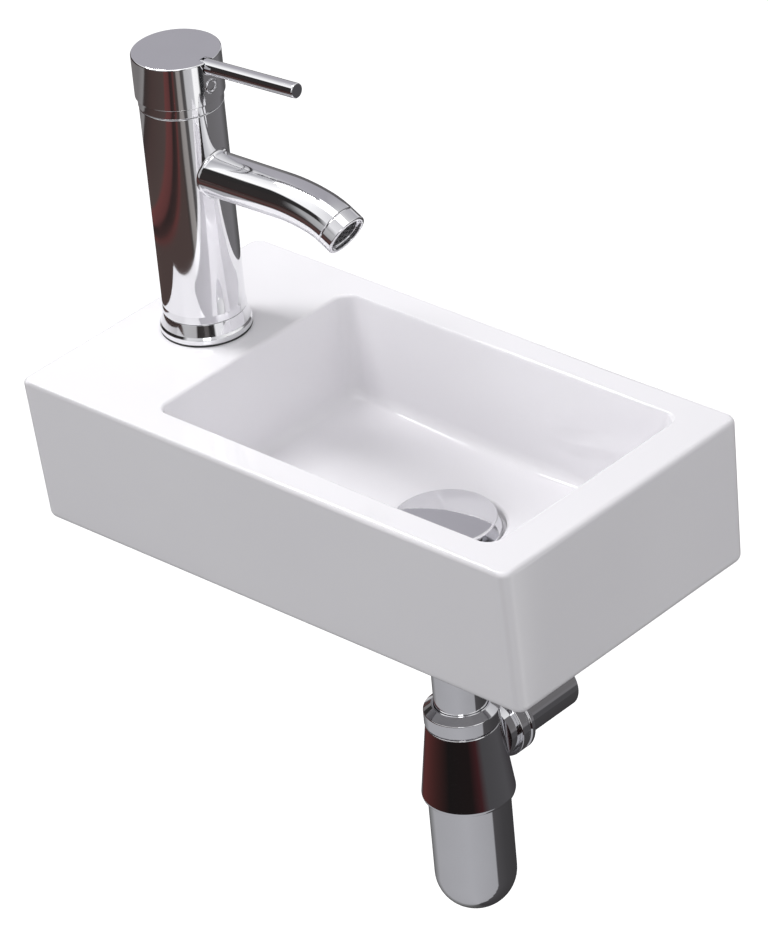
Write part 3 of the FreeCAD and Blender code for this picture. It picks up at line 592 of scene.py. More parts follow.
def grid_mesh(name: str, grid: np.ndarray, closed: bool) -> bpy.types.Mesh:
    """Join a grid into a closed mesh with its faces outwards, in metres.

    The sum of the triple products of its triangles, six times the volume, tells which way they
    face.

    Args:
        name: name of the mesh.
        grid: points, (rows, points, 3), that wrap round in their second direction.
        closed: whether the last row joins the first; otherwise each end row closes on its middle.

    Returns:
        The mesh.
    """
    rows, count, _ = grid.shape
    points = grid.reshape(-1, 3)
    index = np.arange(rows * count).reshape(rows, count)
    below = index if closed else index[:-1]
    above = np.roll(index, -1, axis=0) if closed else index[1:]
    quads = np.stack((below, np.roll(below, -1, axis=1), np.roll(above, -1, axis=1), above), axis=-1)
    quads = quads.reshape(-1, 4)
    caps: list[np.ndarray] = []
    if not closed:
        points = np.vstack((points, grid[0].mean(axis=0), grid[-1].mean(axis=0)))
        for row, hub, turn in ((index[0], rows * count, 1), (index[-1], rows * count + 1, -1)):
            caps.append(np.stack((row, np.roll(row, turn), np.full(count, hub)), axis=-1))
    corners = points[np.vstack((quads[:, :3], quads[:, [0, 2, 3]], *caps))]
    flipped = np.einsum("ij,ij->", corners[:, 0], np.cross(corners[:, 1], corners[:, 2])) < 0
    polygons = [tuple(face) for part in (quads, *caps) for face in part.tolist()]
    if flipped:
        polygons = [face[::-1] for face in polygons]
    mesh = bpy.data.meshes.new(name)
    mesh.from_pydata((points * MM).tolist(), [], polygons)
    mesh.validate()
    return mesh


@dataclass(frozen=True)
class Turning:
    """A profile carried round an axis, and what the turned piece is.

    The profile's corners are (radius, distance along the axis, edge radius).  It is closed on
    itself, or closes on the axis where it starts and ends there.
    """

    name: str
    profile: Sequence[Corner]
    node: str = ""
    slot: Slot = Slot.CHROME
    body: Body = Body.FIXED
    points: int = 128
    arc_steps: int = 6
    span: int = 3

    def mesh(self, axis: Axis) -> bpy.types.Mesh:
        """Carry the profile round an axis.

        Args:
            axis: the axis.

        Returns:
            The mesh.
        """
        closed = self.profile[0][0] > 0.0
        rings = np.stack([axis.ring(radius or HUB_RADIUS, along, self.points)
                          for radius, along, _ in self.profile])
        radii = [edge for _, _, edge in self.profile]
        grid = round_columns(rings, radii, self.arc_steps, [self.span] * len(rings), closed)
        return grid_mesh(self.name, grid, closed)


class Workshop:
    """Makes pieces from meshes and dresses them."""

    def __init__(self) -> None:
        """Make every finish once."""
        self.finishes = {slot: finish.make() for slot, finish in FINISHES.items()}

    def piece(self, name: str, mesh: bpy.types.Mesh, slot: Slot, body: Body, *nodes: str,
              sharp: float | None = None) -> bpy.types.Object:
        """Make a mesh a piece of the object.

        Args:
            name: name of the piece.
            mesh: its mesh, in metres, in place.
            slot: its material slot.
            body: the body it moves with.
            nodes: the nodes that it stands for.
            sharp: angle in degrees above which an edge stays sharp.

        Returns:
            The finished piece.
        """
        piece = add(name, mesh)
        mesh.materials.clear()
        mesh.materials.append(self.finishes[slot])
        mesh.shade_smooth()
        if sharp is not None:
            mesh.set_sharp_from_angle(angle=math.radians(sharp))
        modifier = piece.modifiers.new("even_shading", "WEIGHTED_NORMAL")
        modifier.keep_sharp = True
        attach(piece, body.value)
        if nodes:
            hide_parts(*nodes)
        LOG.info("piece %s: %d faces", name, len(mesh.polygons))
        return piece

    def turn(self, turning: Turning, axis: Axis) -> bpy.types.Object:
        """Return the piece of a turning, made about an axis."""
        return self.piece(turning.name, turning.mesh(axis), turning.slot, turning.body, turning.node)

    def combine(self, mesh: bpy.types.Mesh, tools: Sequence[bpy.types.Mesh],
                operation: Operation) -> bpy.types.Mesh:
        """Cut or join closed meshes one after another.

        Args:
            mesh: the mesh to work on.
            tools: the meshes that cut it or join it.
            operation: whether they cut or join.

        Returns:
            The combined mesh.
        """
        subject = add("subject", mesh)
        helpers = [add("tool", tool) for tool in tools]
        for helper in helpers:
            modifier = subject.modifiers.new("cut", "BOOLEAN")
            modifier.operation, modifier.object, modifier.solver = operation.value, helper, "EXACT"
        result = bpy.data.meshes.new_from_object(
            subject.evaluated_get(bpy.context.evaluated_depsgraph_get()))
        for item in (subject, *helpers):
            bpy.data.objects.remove(item)
        return result

    def dress(self, frame: dict, sharp: float = 30.0) -> None:
        """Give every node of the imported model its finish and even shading.

        Args:
            frame: the loaded frame.
            sharp: angle in degrees above which an edge stays sharp.
        """
        slots = {part["node"]: part["material_slot"] for part in frame["record"]["subparts"]}
        for name, node in frame["nodes"].items():
            node.data.materials.clear()
            node.data.materials.append(self.finishes[Slot(slots[name])])
            node.data.shade_smooth()
            node.data.set_sharp_from_angle(angle=math.radians(sharp))


# ------------------------------------------------------------------ ceramic basin
@dataclass
class Basin:
    """The glazed casting: deck, bowl, skirt and the open underside.

    The bowl is given by its left, right, front and back at the deck.  A lean is how far each side
    (left, right, front, and for the bowl the back) comes in over the whole height.  The hollow
    below stays the bowl's wall off the bowl at the boss and the bowl's shell off it at the ceiling.
    The recess has a radius at its top and one at its foot, and the bolt holes' reach is their
    distance from the middle.
    """

    left: float = -185.0
    right: float = 185.0
    front: float = -200.0
    deck: float = 55.0
    skirt: float = -40.0
    lean: tuple[float, float, float] = (3.1, 1.1, 5.3)
    edge: float = 3.5
    wall: float = 9.5
    back_wall: float = 10.0
    deck_wall: float = 12.0
    bowl: tuple[float, float, float, float] = (-95.0, 158.0, -180.0, -19.0)
    bowl_lean: tuple[float, float, float, float] = (7.0, 12.0, 8.0, 7.0)
    bowl_depth: float = 70.0
    bowl_corner: float = 10.0
    bowl_wall: float = 8.5
    bowl_shell: float = 13.2
    slope: float = 0.06
    recess: Pair = (35.0, 34.8)
    recess_depth: float = 5.5
    throat: float = 22.75
    boss: float = 39.0
    boss_depth: float = 17.0
    inner_corner: float = 3.0
    side_steps: int = 14
    arc_steps: int = 14
    tap_hole: Turning = Turning("tap_hole", ((0, -20, 0), (17.5, -20, 0), (17.5, 8, 0), (0, 8, 0)))
    bolt_hole: Turning = Turning("bolt_hole", ((0, -16, 0), (6, -16, 0), (6, 6, 0), (0, 6, 0)), points=48)
    bolt_reach: float = 165.0

    def outside(self, z: float, inset: float = 0.0, back: float = 0.0, corner: float = 6.0) -> np.ndarray:
        """Outline of the casting at a height, or the same line moved inwards.

        Args:
            z: height.
            inset: distance inwards from the sides and the front.
            back: distance inwards from the back.
            corner: corner radius.

        Returns:
            The ring of points.
        """
        down = (self.deck - self.edge - z) / (self.deck - self.skirt)
        lean_left, lean_right, lean_front = self.lean
        return round_rectangle(
            self.left + lean_left * down + inset, self.right - lean_right * down - inset,
            self.front + lean_front * down + inset, -back, corner, z, self.side_steps, self.arc_steps)

    def inside(self, z: float, grow: float = 0.0) -> np.ndarray:
        """Outline of the bowl at a height, or the same line moved outwards.

        Args:
            z: height.
            grow: distance outwards.

        Returns:
            The ring of points.
        """
        down = (self.deck - z) / self.bowl_depth
        x_low, x_high, y_low, y_high = self.bowl
        lean_left, lean_right, lean_front, lean_back = (down * lean for lean in self.bowl_lean)
        return round_rectangle(
            x_low + lean_left - grow, x_high - lean_right + grow, y_low + lean_front - grow,
            y_high - lean_back + grow, self.bowl_corner + grow, z, self.side_steps, self.arc_steps)

    def floor(self) -> np.ndarray:
        """Edge of the bowl's floor: height = low + slope * (distance from the waste - recess).

        Returns:
            The ring of points.
        """
        low = self.deck - self.bowl_depth
        ring = self.inside(low)
        reach = np.hypot(ring[:, 0] - WASTE_SPOT[0], ring[:, 1] - WASTE_SPOT[1])
        return np.column_stack((ring[:, :2], low + self.slope * (reach - self.recess[0])))

    def circle(self, radius: float, z: float) -> np.ndarray:
        """Circle round the waste whose points face those of the bowl's outline.

        Args:
            radius: radius of the circle.
            z: height.

        Returns:
            The ring of points.
        """
        middle_x, middle_y = WASTE_SPOT
        outline = self.inside(self.deck - self.bowl_depth)
        turn = np.arctan2(outline[:, 1] - middle_y, outline[:, 0] - middle_x)
        return np.column_stack((middle_x + radius * np.cos(turn), middle_y + radius * np.sin(turn),
                                np.full(len(turn), z)))

    def mesh(self) -> bpy.types.Mesh:
        """Make the whole casting as one skin that wraps from the skirt over the rim and back under.

        Returns:
            The mesh, without its holes.
        """
        low = self.deck - self.bowl_depth
        ceiling = self.deck - self.deck_wall
        step, foot, boss_top = low - self.recess_depth, low - self.boss_depth, low - self.bowl_wall
        shell_top = self.inside(ceiling, self.bowl_shell)
        bound = self.outside(ceiling, self.wall + 1.0, self.back_wall + 1.0)[:, :2]
        shell_top[:, :2] = np.clip(shell_top[:, :2], bound.min(axis=0), bound.max(axis=0))
        # ring, edge radius, and faces along the run that follows
        corners = (
            (self.outside(self.skirt), 5.0, 8),
            (self.outside(self.deck), self.edge, 8),
            (self.inside(self.deck), 2.5, 8),
            (self.floor(), 9.0, 12),
            (self.circle(self.recess[0], low), 2.0, 3),
            (self.circle(self.recess[1], step), 1.2, 3),
            (self.circle(self.throat, step), 0.5, 4),
            (self.circle(self.throat, foot), 0.5, 4),
            (self.circle(self.boss, foot), 2.0, 3),
            (self.circle(self.boss, boss_top), 2.0, 8),
            (self.inside(boss_top, self.bowl_wall), 6.0, 6),
            (shell_top, 3.0, 4),
            (self.outside(ceiling, self.wall, self.back_wall, self.inner_corner), 3.0, 8),
            (self.outside(self.skirt, self.wall, self.back_wall, self.inner_corner), 1.5, 4),
        )
        rings, radii, spans = zip(*corners)
        grid = round_columns(np.stack(rings), radii, 8, spans, True)
        grid[..., 1] = np.minimum(grid[..., 1], 0.0)
        return grid_mesh("basin", grid, True)

    def build(self, shop: Workshop) -> None:
        """Make the casting, cut its tap hole and two wall bolt holes, and dress it.

        Args:
            shop: the workshop.
        """
        cutters = [self.tap_hole.mesh(Axis((*TAP_SPOT, self.deck)))]
        cutters += [self.bolt_hole.mesh(Axis((x, 0.0, 0.0), (0.0, 1.0, 0.0)))
                    for x in (-self.bolt_reach, self.bolt_reach)]
        mesh = shop.combine(self.mesh(), cutters, Operation.CUT)
        shop.piece("basin", mesh, Slot.GLAZE, Body.FIXED, "basin_body", sharp=50.0)


# ------------------------------------------------------------------ waste and trap
@dataclass
class Waste:
    """The domed plug in the bowl's recess, and the spring in its barrel."""

    axis: Axis = Axis((*WASTE_SPOT, 0.0))
    radius: float = 30.2
    under: float = -11.0
    under_edge: float = 0.4
    rim: float = 2.0
    rise: float = 2.4
    roll: float = 1.5
    shoulder: float = 0.6
    spring_ends: Pair = (-24.4, -12.5)
    spring_radius: float = 4.1
    turns: float = 5.5
    end_turn: float = 0.9
    end_climb: float = 0.72
    wire: float = 0.8
    travel: float = 6.0
    crown_rings: int = 8
    roll_rings: int = 6
    roll_turn: float = 75.0

    def dome(self) -> list[Corner]:
        """Profile of the plug: a disc whose edge rolls over a quarter ellipse into a low crown.

        The crown is edge + rise * (1 - s * s) at the share s of the radius.

        Returns:
            Corners for a turning.
        """
        edge = self.under + self.rim
        shares = np.linspace(1.0 - self.roll / self.radius, 0.0, self.crown_rings).tolist()
        crown = [(self.radius * s, edge + self.rise * (1 - s * s), 0.0) for s in shares]
        height = crown[0][1] - edge + self.shoulder
        turn = np.radians(np.linspace(0.0, self.roll_turn, self.roll_rings)).tolist()
        side = [(self.radius - self.roll * (1 - math.cos(a)),
                 edge - self.shoulder + height * math.sin(a), 0.0) for a in turn]
        return [(0.0, self.under, 0.0), (self.radius, self.under, self.under_edge), *side, *crown]

    def coil(self, steps: int = 32, around: int = 12) -> bpy.types.Mesh:
        """Helix of round wire, (r cos t, r sin t) at a height that climbs slowly over its end turns.

        Args:
            steps: points along one turn.
            around: points round the wire.

        Returns:
            The mesh.
        """
        low, high = self.spring_ends[0] + self.wire / 2, self.spring_ends[1] - self.wire / 2
        turn = np.linspace(0.0, self.turns, int(self.turns * steps) + 1)
        height = np.interp(turn, (0.0, self.end_turn, self.turns - self.end_turn, self.turns),
                           (low, low + self.end_climb, high - self.end_climb, high))
        angle = 2 * math.pi * turn
        spoke = np.column_stack((np.cos(angle), np.sin(angle), np.zeros(len(angle))))
        centre = np.array(self.axis.origin) + self.spring_radius * spoke
        centre[:, 2] = height
        section = full_turn(around)[None, :, None]
        wire = np.cos(section) * spoke[:, None] + np.sin(section) * np.array((0.0, 0.0, 1.0))
        return grid_mesh("plug_coil", centre[:, None] + self.wire / 2 * wire, False)

    def build(self, shop: Workshop) -> None:
        """Make the plug, and the spring in its barrel that moves with the plug.

        Args:
            shop: the workshop.
        """
        shop.turn(Turning("plug_disc", self.dome(), "plug_cap", body=Body.PLUG, points=160), self.axis)
        coil = shop.piece("plug_coil", self.coil(), Slot.STEEL, Body.PLUG, "plug_spring")
        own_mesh(coil)


@dataclass
class Trap:
    """Bottle trap: pipe, collar nut, outlet nut and pipe, bottle, and the bell with its side stub."""

    upright: Axis = Axis((*WASTE_SPOT, 0.0))
    outlet: Axis = Axis((*WASTE_SPOT, -167.5), (0.0, 1.0, 0.0))
    tail_pipe: Turning = Turning("trap_tail_pipe", (
        (16.0, -240.5, 0.3), (16.0, -78.0, 0.3), (14.8, -78.0, 0.3), (14.8, -240.5, 0.3)),
        "trap_inlet_pipe")
    collar: Turning = Turning("trap_collar", (
        (16.3, -135.0, 0.2), (17.5, -135.0, 0.4), (22.5, -138.6, 0.8), (22.5, -147.5, 0.6),
        (19.55, -147.5, 0.2), (19.55, -140.5, 0.3), (16.3, -140.5, 0.2)), "trap_collar_nut")
    outlet_collar: Turning = Turning("trap_outlet_collar", (
        (18.35, 28.0, 0.2), (21.0, 28.0, 0.6), (21.0, 33.6, 0.6), (20.2, 34.4, 0.5), (20.2, 35.6, 0.5),
        (21.0, 36.4, 0.6), (21.0, 38.9, 0.7), (17.0, 42.0, 0.4), (15.8, 42.0, 0.2), (15.8, 38.5, 0.2),
        (18.35, 38.5, 0.2)), "trap_outlet_nut")
    outlet_tube: Turning = Turning("trap_outlet_tube", (
        (14.8, 27.0, 0.2), (15.5, 27.0, 0.2), (15.5, 42.3, 0.1), (16.0, 42.3, 0.2), (16.0, 84.0, 0.3),
        (14.8, 84.0, 0.3)), "trap_outlet_pipe")
    bell: Turning = Turning("bell", (
        (16.3, -143.0, 0.3), (19.5, -143.0, 0.3), (19.5, -148.6, 0.4), (22.0, -148.6, 0.8),
        (27.9, -196.6, 3.0), (27.3, -198.5, 0.8), (24.55, -198.5, 0.3), (24.55, -188.0, 0.2),
        (22.5, -188.0, 0.3), (20.0, -151.0, 0.5), (16.3, -151.0, 0.3)))
    stub: Turning = Turning("stub", (
        (0, 21.0, 0), (18.3, 21.0, 0), (18.3, 35.5, 0.4), (15.6, 35.5, 0.2), (15.6, 27.0, 0.2),
        (0, 27.0, 0)))
    bottle_radii: Pair = (24.5, 23.0)
    bottle_centre: float = -253.5
    bottle_lip: float = -189.5
    bottle_lip_edge: float = 0.3
    bottle_rings: int = 16
    bottle_turn: float = 88.5

    def bottle(self) -> Turning:
        """Cup whose bottom is half a sphere: radius (cos a, sin a) below its centre.

        Returns:
            The turning.
        """
        outer, inner = self.bottle_radii
        centre, lip, edge = self.bottle_centre, self.bottle_lip, self.bottle_lip_edge
        turn = np.radians(np.linspace(self.bottle_turn, 0.0, self.bottle_rings)).tolist()
        shell = [(outer * math.cos(a), centre - outer * math.sin(a), 0.0) for a in turn]
        void = [(inner * math.cos(a), centre - inner * math.sin(a), 0.0) for a in turn[::-1]]
        profile = [(0.0, centre - outer, 0.0), *shell, (outer, lip, edge), (inner, lip, edge), *void,
                   (0.0, centre - inner, 0.0)]
        return Turning("trap_cup", profile, "trap_bottle")

    def build(self, shop: Workshop) -> None:
        """Make the visible pieces of the trap.

        Args:
            shop: the workshop.
        """
        for turning, axis in ((self.tail_pipe, self.upright), (self.collar, self.upright),
                              (self.outlet_collar, self.outlet), (self.outlet_tube, self.outlet),
                              (self.bottle(), self.upright)):
            shop.turn(turning, axis)
        mesh = shop.combine(self.bell.mesh(self.upright), [self.stub.mesh(self.outlet)], Operation.FUSE)
        shop.piece("trap_bell", mesh, Slot.CHROME, Body.FIXED, "trap_body", sharp=40.0)


# ------------------------------------------------------------------ tap
@dataclass(frozen=True)
class Spout:
    """Round spout that leaves the pillar, bends down twice and meets the pillar in a small fillet.

    Bends are (radius, heading in degrees at the bend's end), the mouth's corners are (radius,
    distance along the heading), and the inner end, inside the pillar, is (distance, radius).
    """

    start: Point = (*TAP_SPOT, 161.3)
    pillar: float = 24.4
    radius: float = 13.5
    fillet: float = 2.5
    sink: float = 0.03
    straight: float = 75.0
    rise: float = 1.5
    bends: tuple[Pair, ...] = ((110.0, -13.0), (45.0, -29.0))
    mouth: tuple[Pair, ...] = (
        (12.9, 0.0), (11.3, 0.0), (11.2, -0.3), (11.2, -7.0), (9.0, -7.0), (9.0, -14.0))
    mouth_edge: float = 0.6
    inner_end: Pair = (12.0, 3.0)
    fillet_steps: int = 9
    straight_steps: int = 13
    points: int = 128

    def line(self, step: float = 1.2) -> tuple[np.ndarray, np.ndarray]:
        """Points and headings along the spout's axis after the straight run: arcs of two radii.

        Args:
            step: degrees of turn between points.

        Returns:
            Points (n, 3) and headings in radians (n,).
        """
        heading = math.radians(self.rise)
        here = np.array(self.start) + self.straight * np.array(slanted(heading))
        points, headings = [here[None]], [np.array((heading,))]
        for radius, last in self.bends:
            count = 2 + int(abs(math.degrees(heading) - last) / step)
            turn = np.linspace(heading, math.radians(last), count)[1:]
            centre = here + radius * np.array((math.sin(heading), 0.0, -math.cos(heading)))
            arc = centre + radius * np.column_stack((-np.sin(turn), np.zeros(len(turn)), np.cos(turn)))
            points.append(arc)
            headings.append(turn)
            here, heading = arc[-1], float(turn[-1])
        return np.concatenate(points), np.concatenate(headings)

    def end(self) -> Axis:
        """Return the axis of the spout's mouth, from its cut end outwards."""
        points, headings = self.line()
        return Axis(tuple(points[-1]), slanted(float(headings[-1])))

    def spokes(self, heading: np.ndarray) -> np.ndarray:
        """Unit directions across the axis: y cos t + up sin t, for each heading.

        Args:
            heading: headings in radians (n,).

        Returns:
            Directions (n, points, 3).
        """
        turn = full_turn(self.points)
        up = np.column_stack((-np.sin(heading), np.zeros(len(heading)), np.cos(heading)))
        across = np.cos(turn)[:, None] * np.array((0.0, 1.0, 0.0))
        return across[None] + np.sin(turn)[None, :, None] * up[:, None, :]

    def root(self) -> np.ndarray:
        """Rows of the fillet: a ball of its radius rolls along the joint of the two cylinders.

        The ball's centre is pillar + fillet - sink from the tap's axis and radius + fillet from the
        spout's, and a row is the slerp between its two contact directions.  The first row lies that
        sink inside the pillar, so that the two meshes cross in one clean line.

        Returns:
            Rows (n, points, 3).
        """
        heading = math.radians(self.rise)
        spoke = self.spokes(np.array((heading,)))[0]
        aim = np.array(slanted(heading))
        reach = self.radius + self.fillet
        run = np.sqrt((self.pillar + self.fillet - self.sink) ** 2 - (reach * spoke[:, 1]) ** 2)
        run -= reach * spoke[:, 0]
        centre = np.array(self.start) + (run / aim[0])[:, None] * aim + reach * spoke
        flat = (centre - np.array(self.start)) * (1.0, 1.0, 0.0)
        first = -flat / np.linalg.norm(flat, axis=1, keepdims=True)
        sweep = np.arccos(np.clip(np.sum(first * -spoke, axis=1, keepdims=True), -1.0, 1.0))
        return centre + self.fillet * slerp(first, -spoke, sweep, self.fillet_steps)

    def mesh(self) -> bpy.types.Mesh:
        """Make the spout as a closed skin: fillet, tube, mouth and bore.

        Returns:
            The mesh.
        """
        root = self.root()
        points, headings = self.line()
        tube = points[:, None] + self.radius * self.spokes(headings)
        share = np.linspace(0.0, 1.0, self.straight_steps + 1)[1:-1, None, None]
        straight = root[-1] * (1 - share) + tube[0] * share
        spoke = self.spokes(headings[-1:])[0]
        aim = np.array(self.end().aim)
        mouth = [points[-1] + radius * spoke + along * aim for radius, along in self.mouth]
        tube[-1] -= self.mouth_edge * aim
        depth, radius = self.inner_end
        inner = np.array(self.start) + np.array((depth, 0.0, 0.0)) + radius * self.spokes(headings[:1])[0]
        grid = np.concatenate((inner[None], root, straight, tube, np.stack(mouth)))
        return grid_mesh("spout", grid, False)


@dataclass
class Tap:
    """Pillar, base ring, gasket, collar and the ring in the spout's mouth."""

    axis: Axis = Axis((*TAP_SPOT, 0.0))
    spout: Spout = Spout()
    pillar: Turning = Turning("pillar", (
        (0, 56.0, 0), (20.0, 56.0, 0.2), (20.0, 68.4, 0.1), (24.4, 68.4, 0.3), (24.9, 69.0, 0.5),
        (24.8, 69.8, 0.8), (24.4, 73.4, 3.0), (24.4, 202.2, 0.5), (20.5, 202.2, 0.3), (20.5, 194.4, 0.1),
        (17.6, 194.4, 0.1), (17.6, 176.0, 0.3), (0, 176.0, 0)), points=192)
    gasket: Turning = Turning("tap_foot_gasket", (
        (17.5, 55.0, 0.1), (27.0, 55.0, 0.3), (27.0, 56.0, 0.3), (17.5, 56.0, 0.1)),
        "tap_base_gasket", Slot.SEAL)
    foot_ring: Turning = Turning("tap_foot_ring", (
        (20.1, 56.0, 0.2), (26.8, 56.0, 0.3), (27.2, 56.8, 0.7), (27.2, 59.4, 0.9), (26.3, 60.9, 0.6),
        (24.4, 68.2, 0.3), (20.1, 68.2, 0.2)), "tap_base_ring", points=192)
    neck_ring: Turning = Turning("tap_neck_ring", (
        (20.6, 202.5, 0.1), (24.7, 202.5, 0.6), (24.7, 208.6, 0.6), (14.6, 208.6, 0.2),
        (14.6, 203.4, 0.2), (20.6, 203.4, 0.2)), "tap_collar", points=192)
    mouth_ring: Turning = Turning("spout_ring", (
        (9.9, -5.5, 0.1), (11.15, -5.5, 0.2), (11.15, 0.0, 0.05), (12.9, 0.0, 0.1), (13.5, 0.6, 0.3),
        (13.5, 8.6, 0.8), (11.25, 8.6, 0.4), (11.25, 6.0, 0.2), (9.9, 6.0, 0.1)), "aerator_ring")

    def build(self, shop: Workshop) -> None:
        """Make the fixed outside of the tap.

        Args:
            shop: the workshop.
        """
        mesh = shop.combine(self.pillar.mesh(self.axis), [self.spout.mesh()], Operation.FUSE)
        shop.piece("tap_pillar", mesh, Slot.CHROME, Body.FIXED, "tap_body", sharp=40.0)
        for turning in (self.gasket, self.foot_ring, self.neck_ring):
            shop.turn(turning, self.axis)
        shop.turn(self.mouth_ring, self.spout.end())


@dataclass
class Handle:
    """Lever pin and indicator button; the cap keeps its own solid."""

    lever_height: float = 229.575
    lever_rise: float = 3.5
    lever: Turning = Turning("lever_pin", (
        (0, 11.0, 0), (2.95, 11.0, 0.4), (2.95, 23.3, 0.1), (4.5, 23.3, 0.6), (4.5, 94.0, 0.7),
        (0, 94.0, 0)),
        "handle_lever", body=Body.HANDLE, points=96)
    button_height: float = 219.0
    button: Turning = Turning("indicator_button", (
        (0, 22.55, 0), (4.45, 22.55, 0.2), (4.45, 26.7, 0.4), (3.15, 26.7, 0.3), (2.9, 25.9, 0.3),
        (0, 25.8, 0)),
        "handle_button", body=Body.HANDLE, points=64)

    def build(self, shop: Workshop) -> None:
        """Make the lever and the button."""
        shop.turn(self.lever, Axis((*TAP_SPOT, self.lever_height), slanted(math.radians(self.lever_rise))))
        shop.turn(self.button, Axis((*TAP_SPOT, self.button_height), (1.0, 0.0, 0.0)))


# ------------------------------------------------------------------ studio
@dataclass(frozen=True)
class Band:
    """Strip of tone by compass angle from +X in degrees; it blends into the band that follows."""

    start: float
    tone: Colour


def bands(*rows: tuple[float, float, float, float]) -> tuple[Band, ...]:
    """Return bands from rows of compass angle, red, green and blue."""
    return tuple(Band(start, tuple(tone)) for start, *tone in rows)


@dataclass(frozen=True)
class Zone:
    """Bands round the compass above an elevation, with the width of its blend, in degrees."""

    bands: tuple[Band, ...]
    edge: float = -90.0
    width: float = 0.0

    def sines(self) -> Pair:
        """Return the sines of the elevations at which the blend begins and ends."""
        return tuple(math.sin(math.radians(self.edge + side * self.width / 2)) for side in (-1, 1))


def band_stops(bands: Sequence[Band], first: float) -> list[tuple[float, Colour]]:
    """Return the bands' tones by their share of the full turn that begins at the first angle."""
    return [((band.start - first) / 360.0, band.tone) for band in bands]


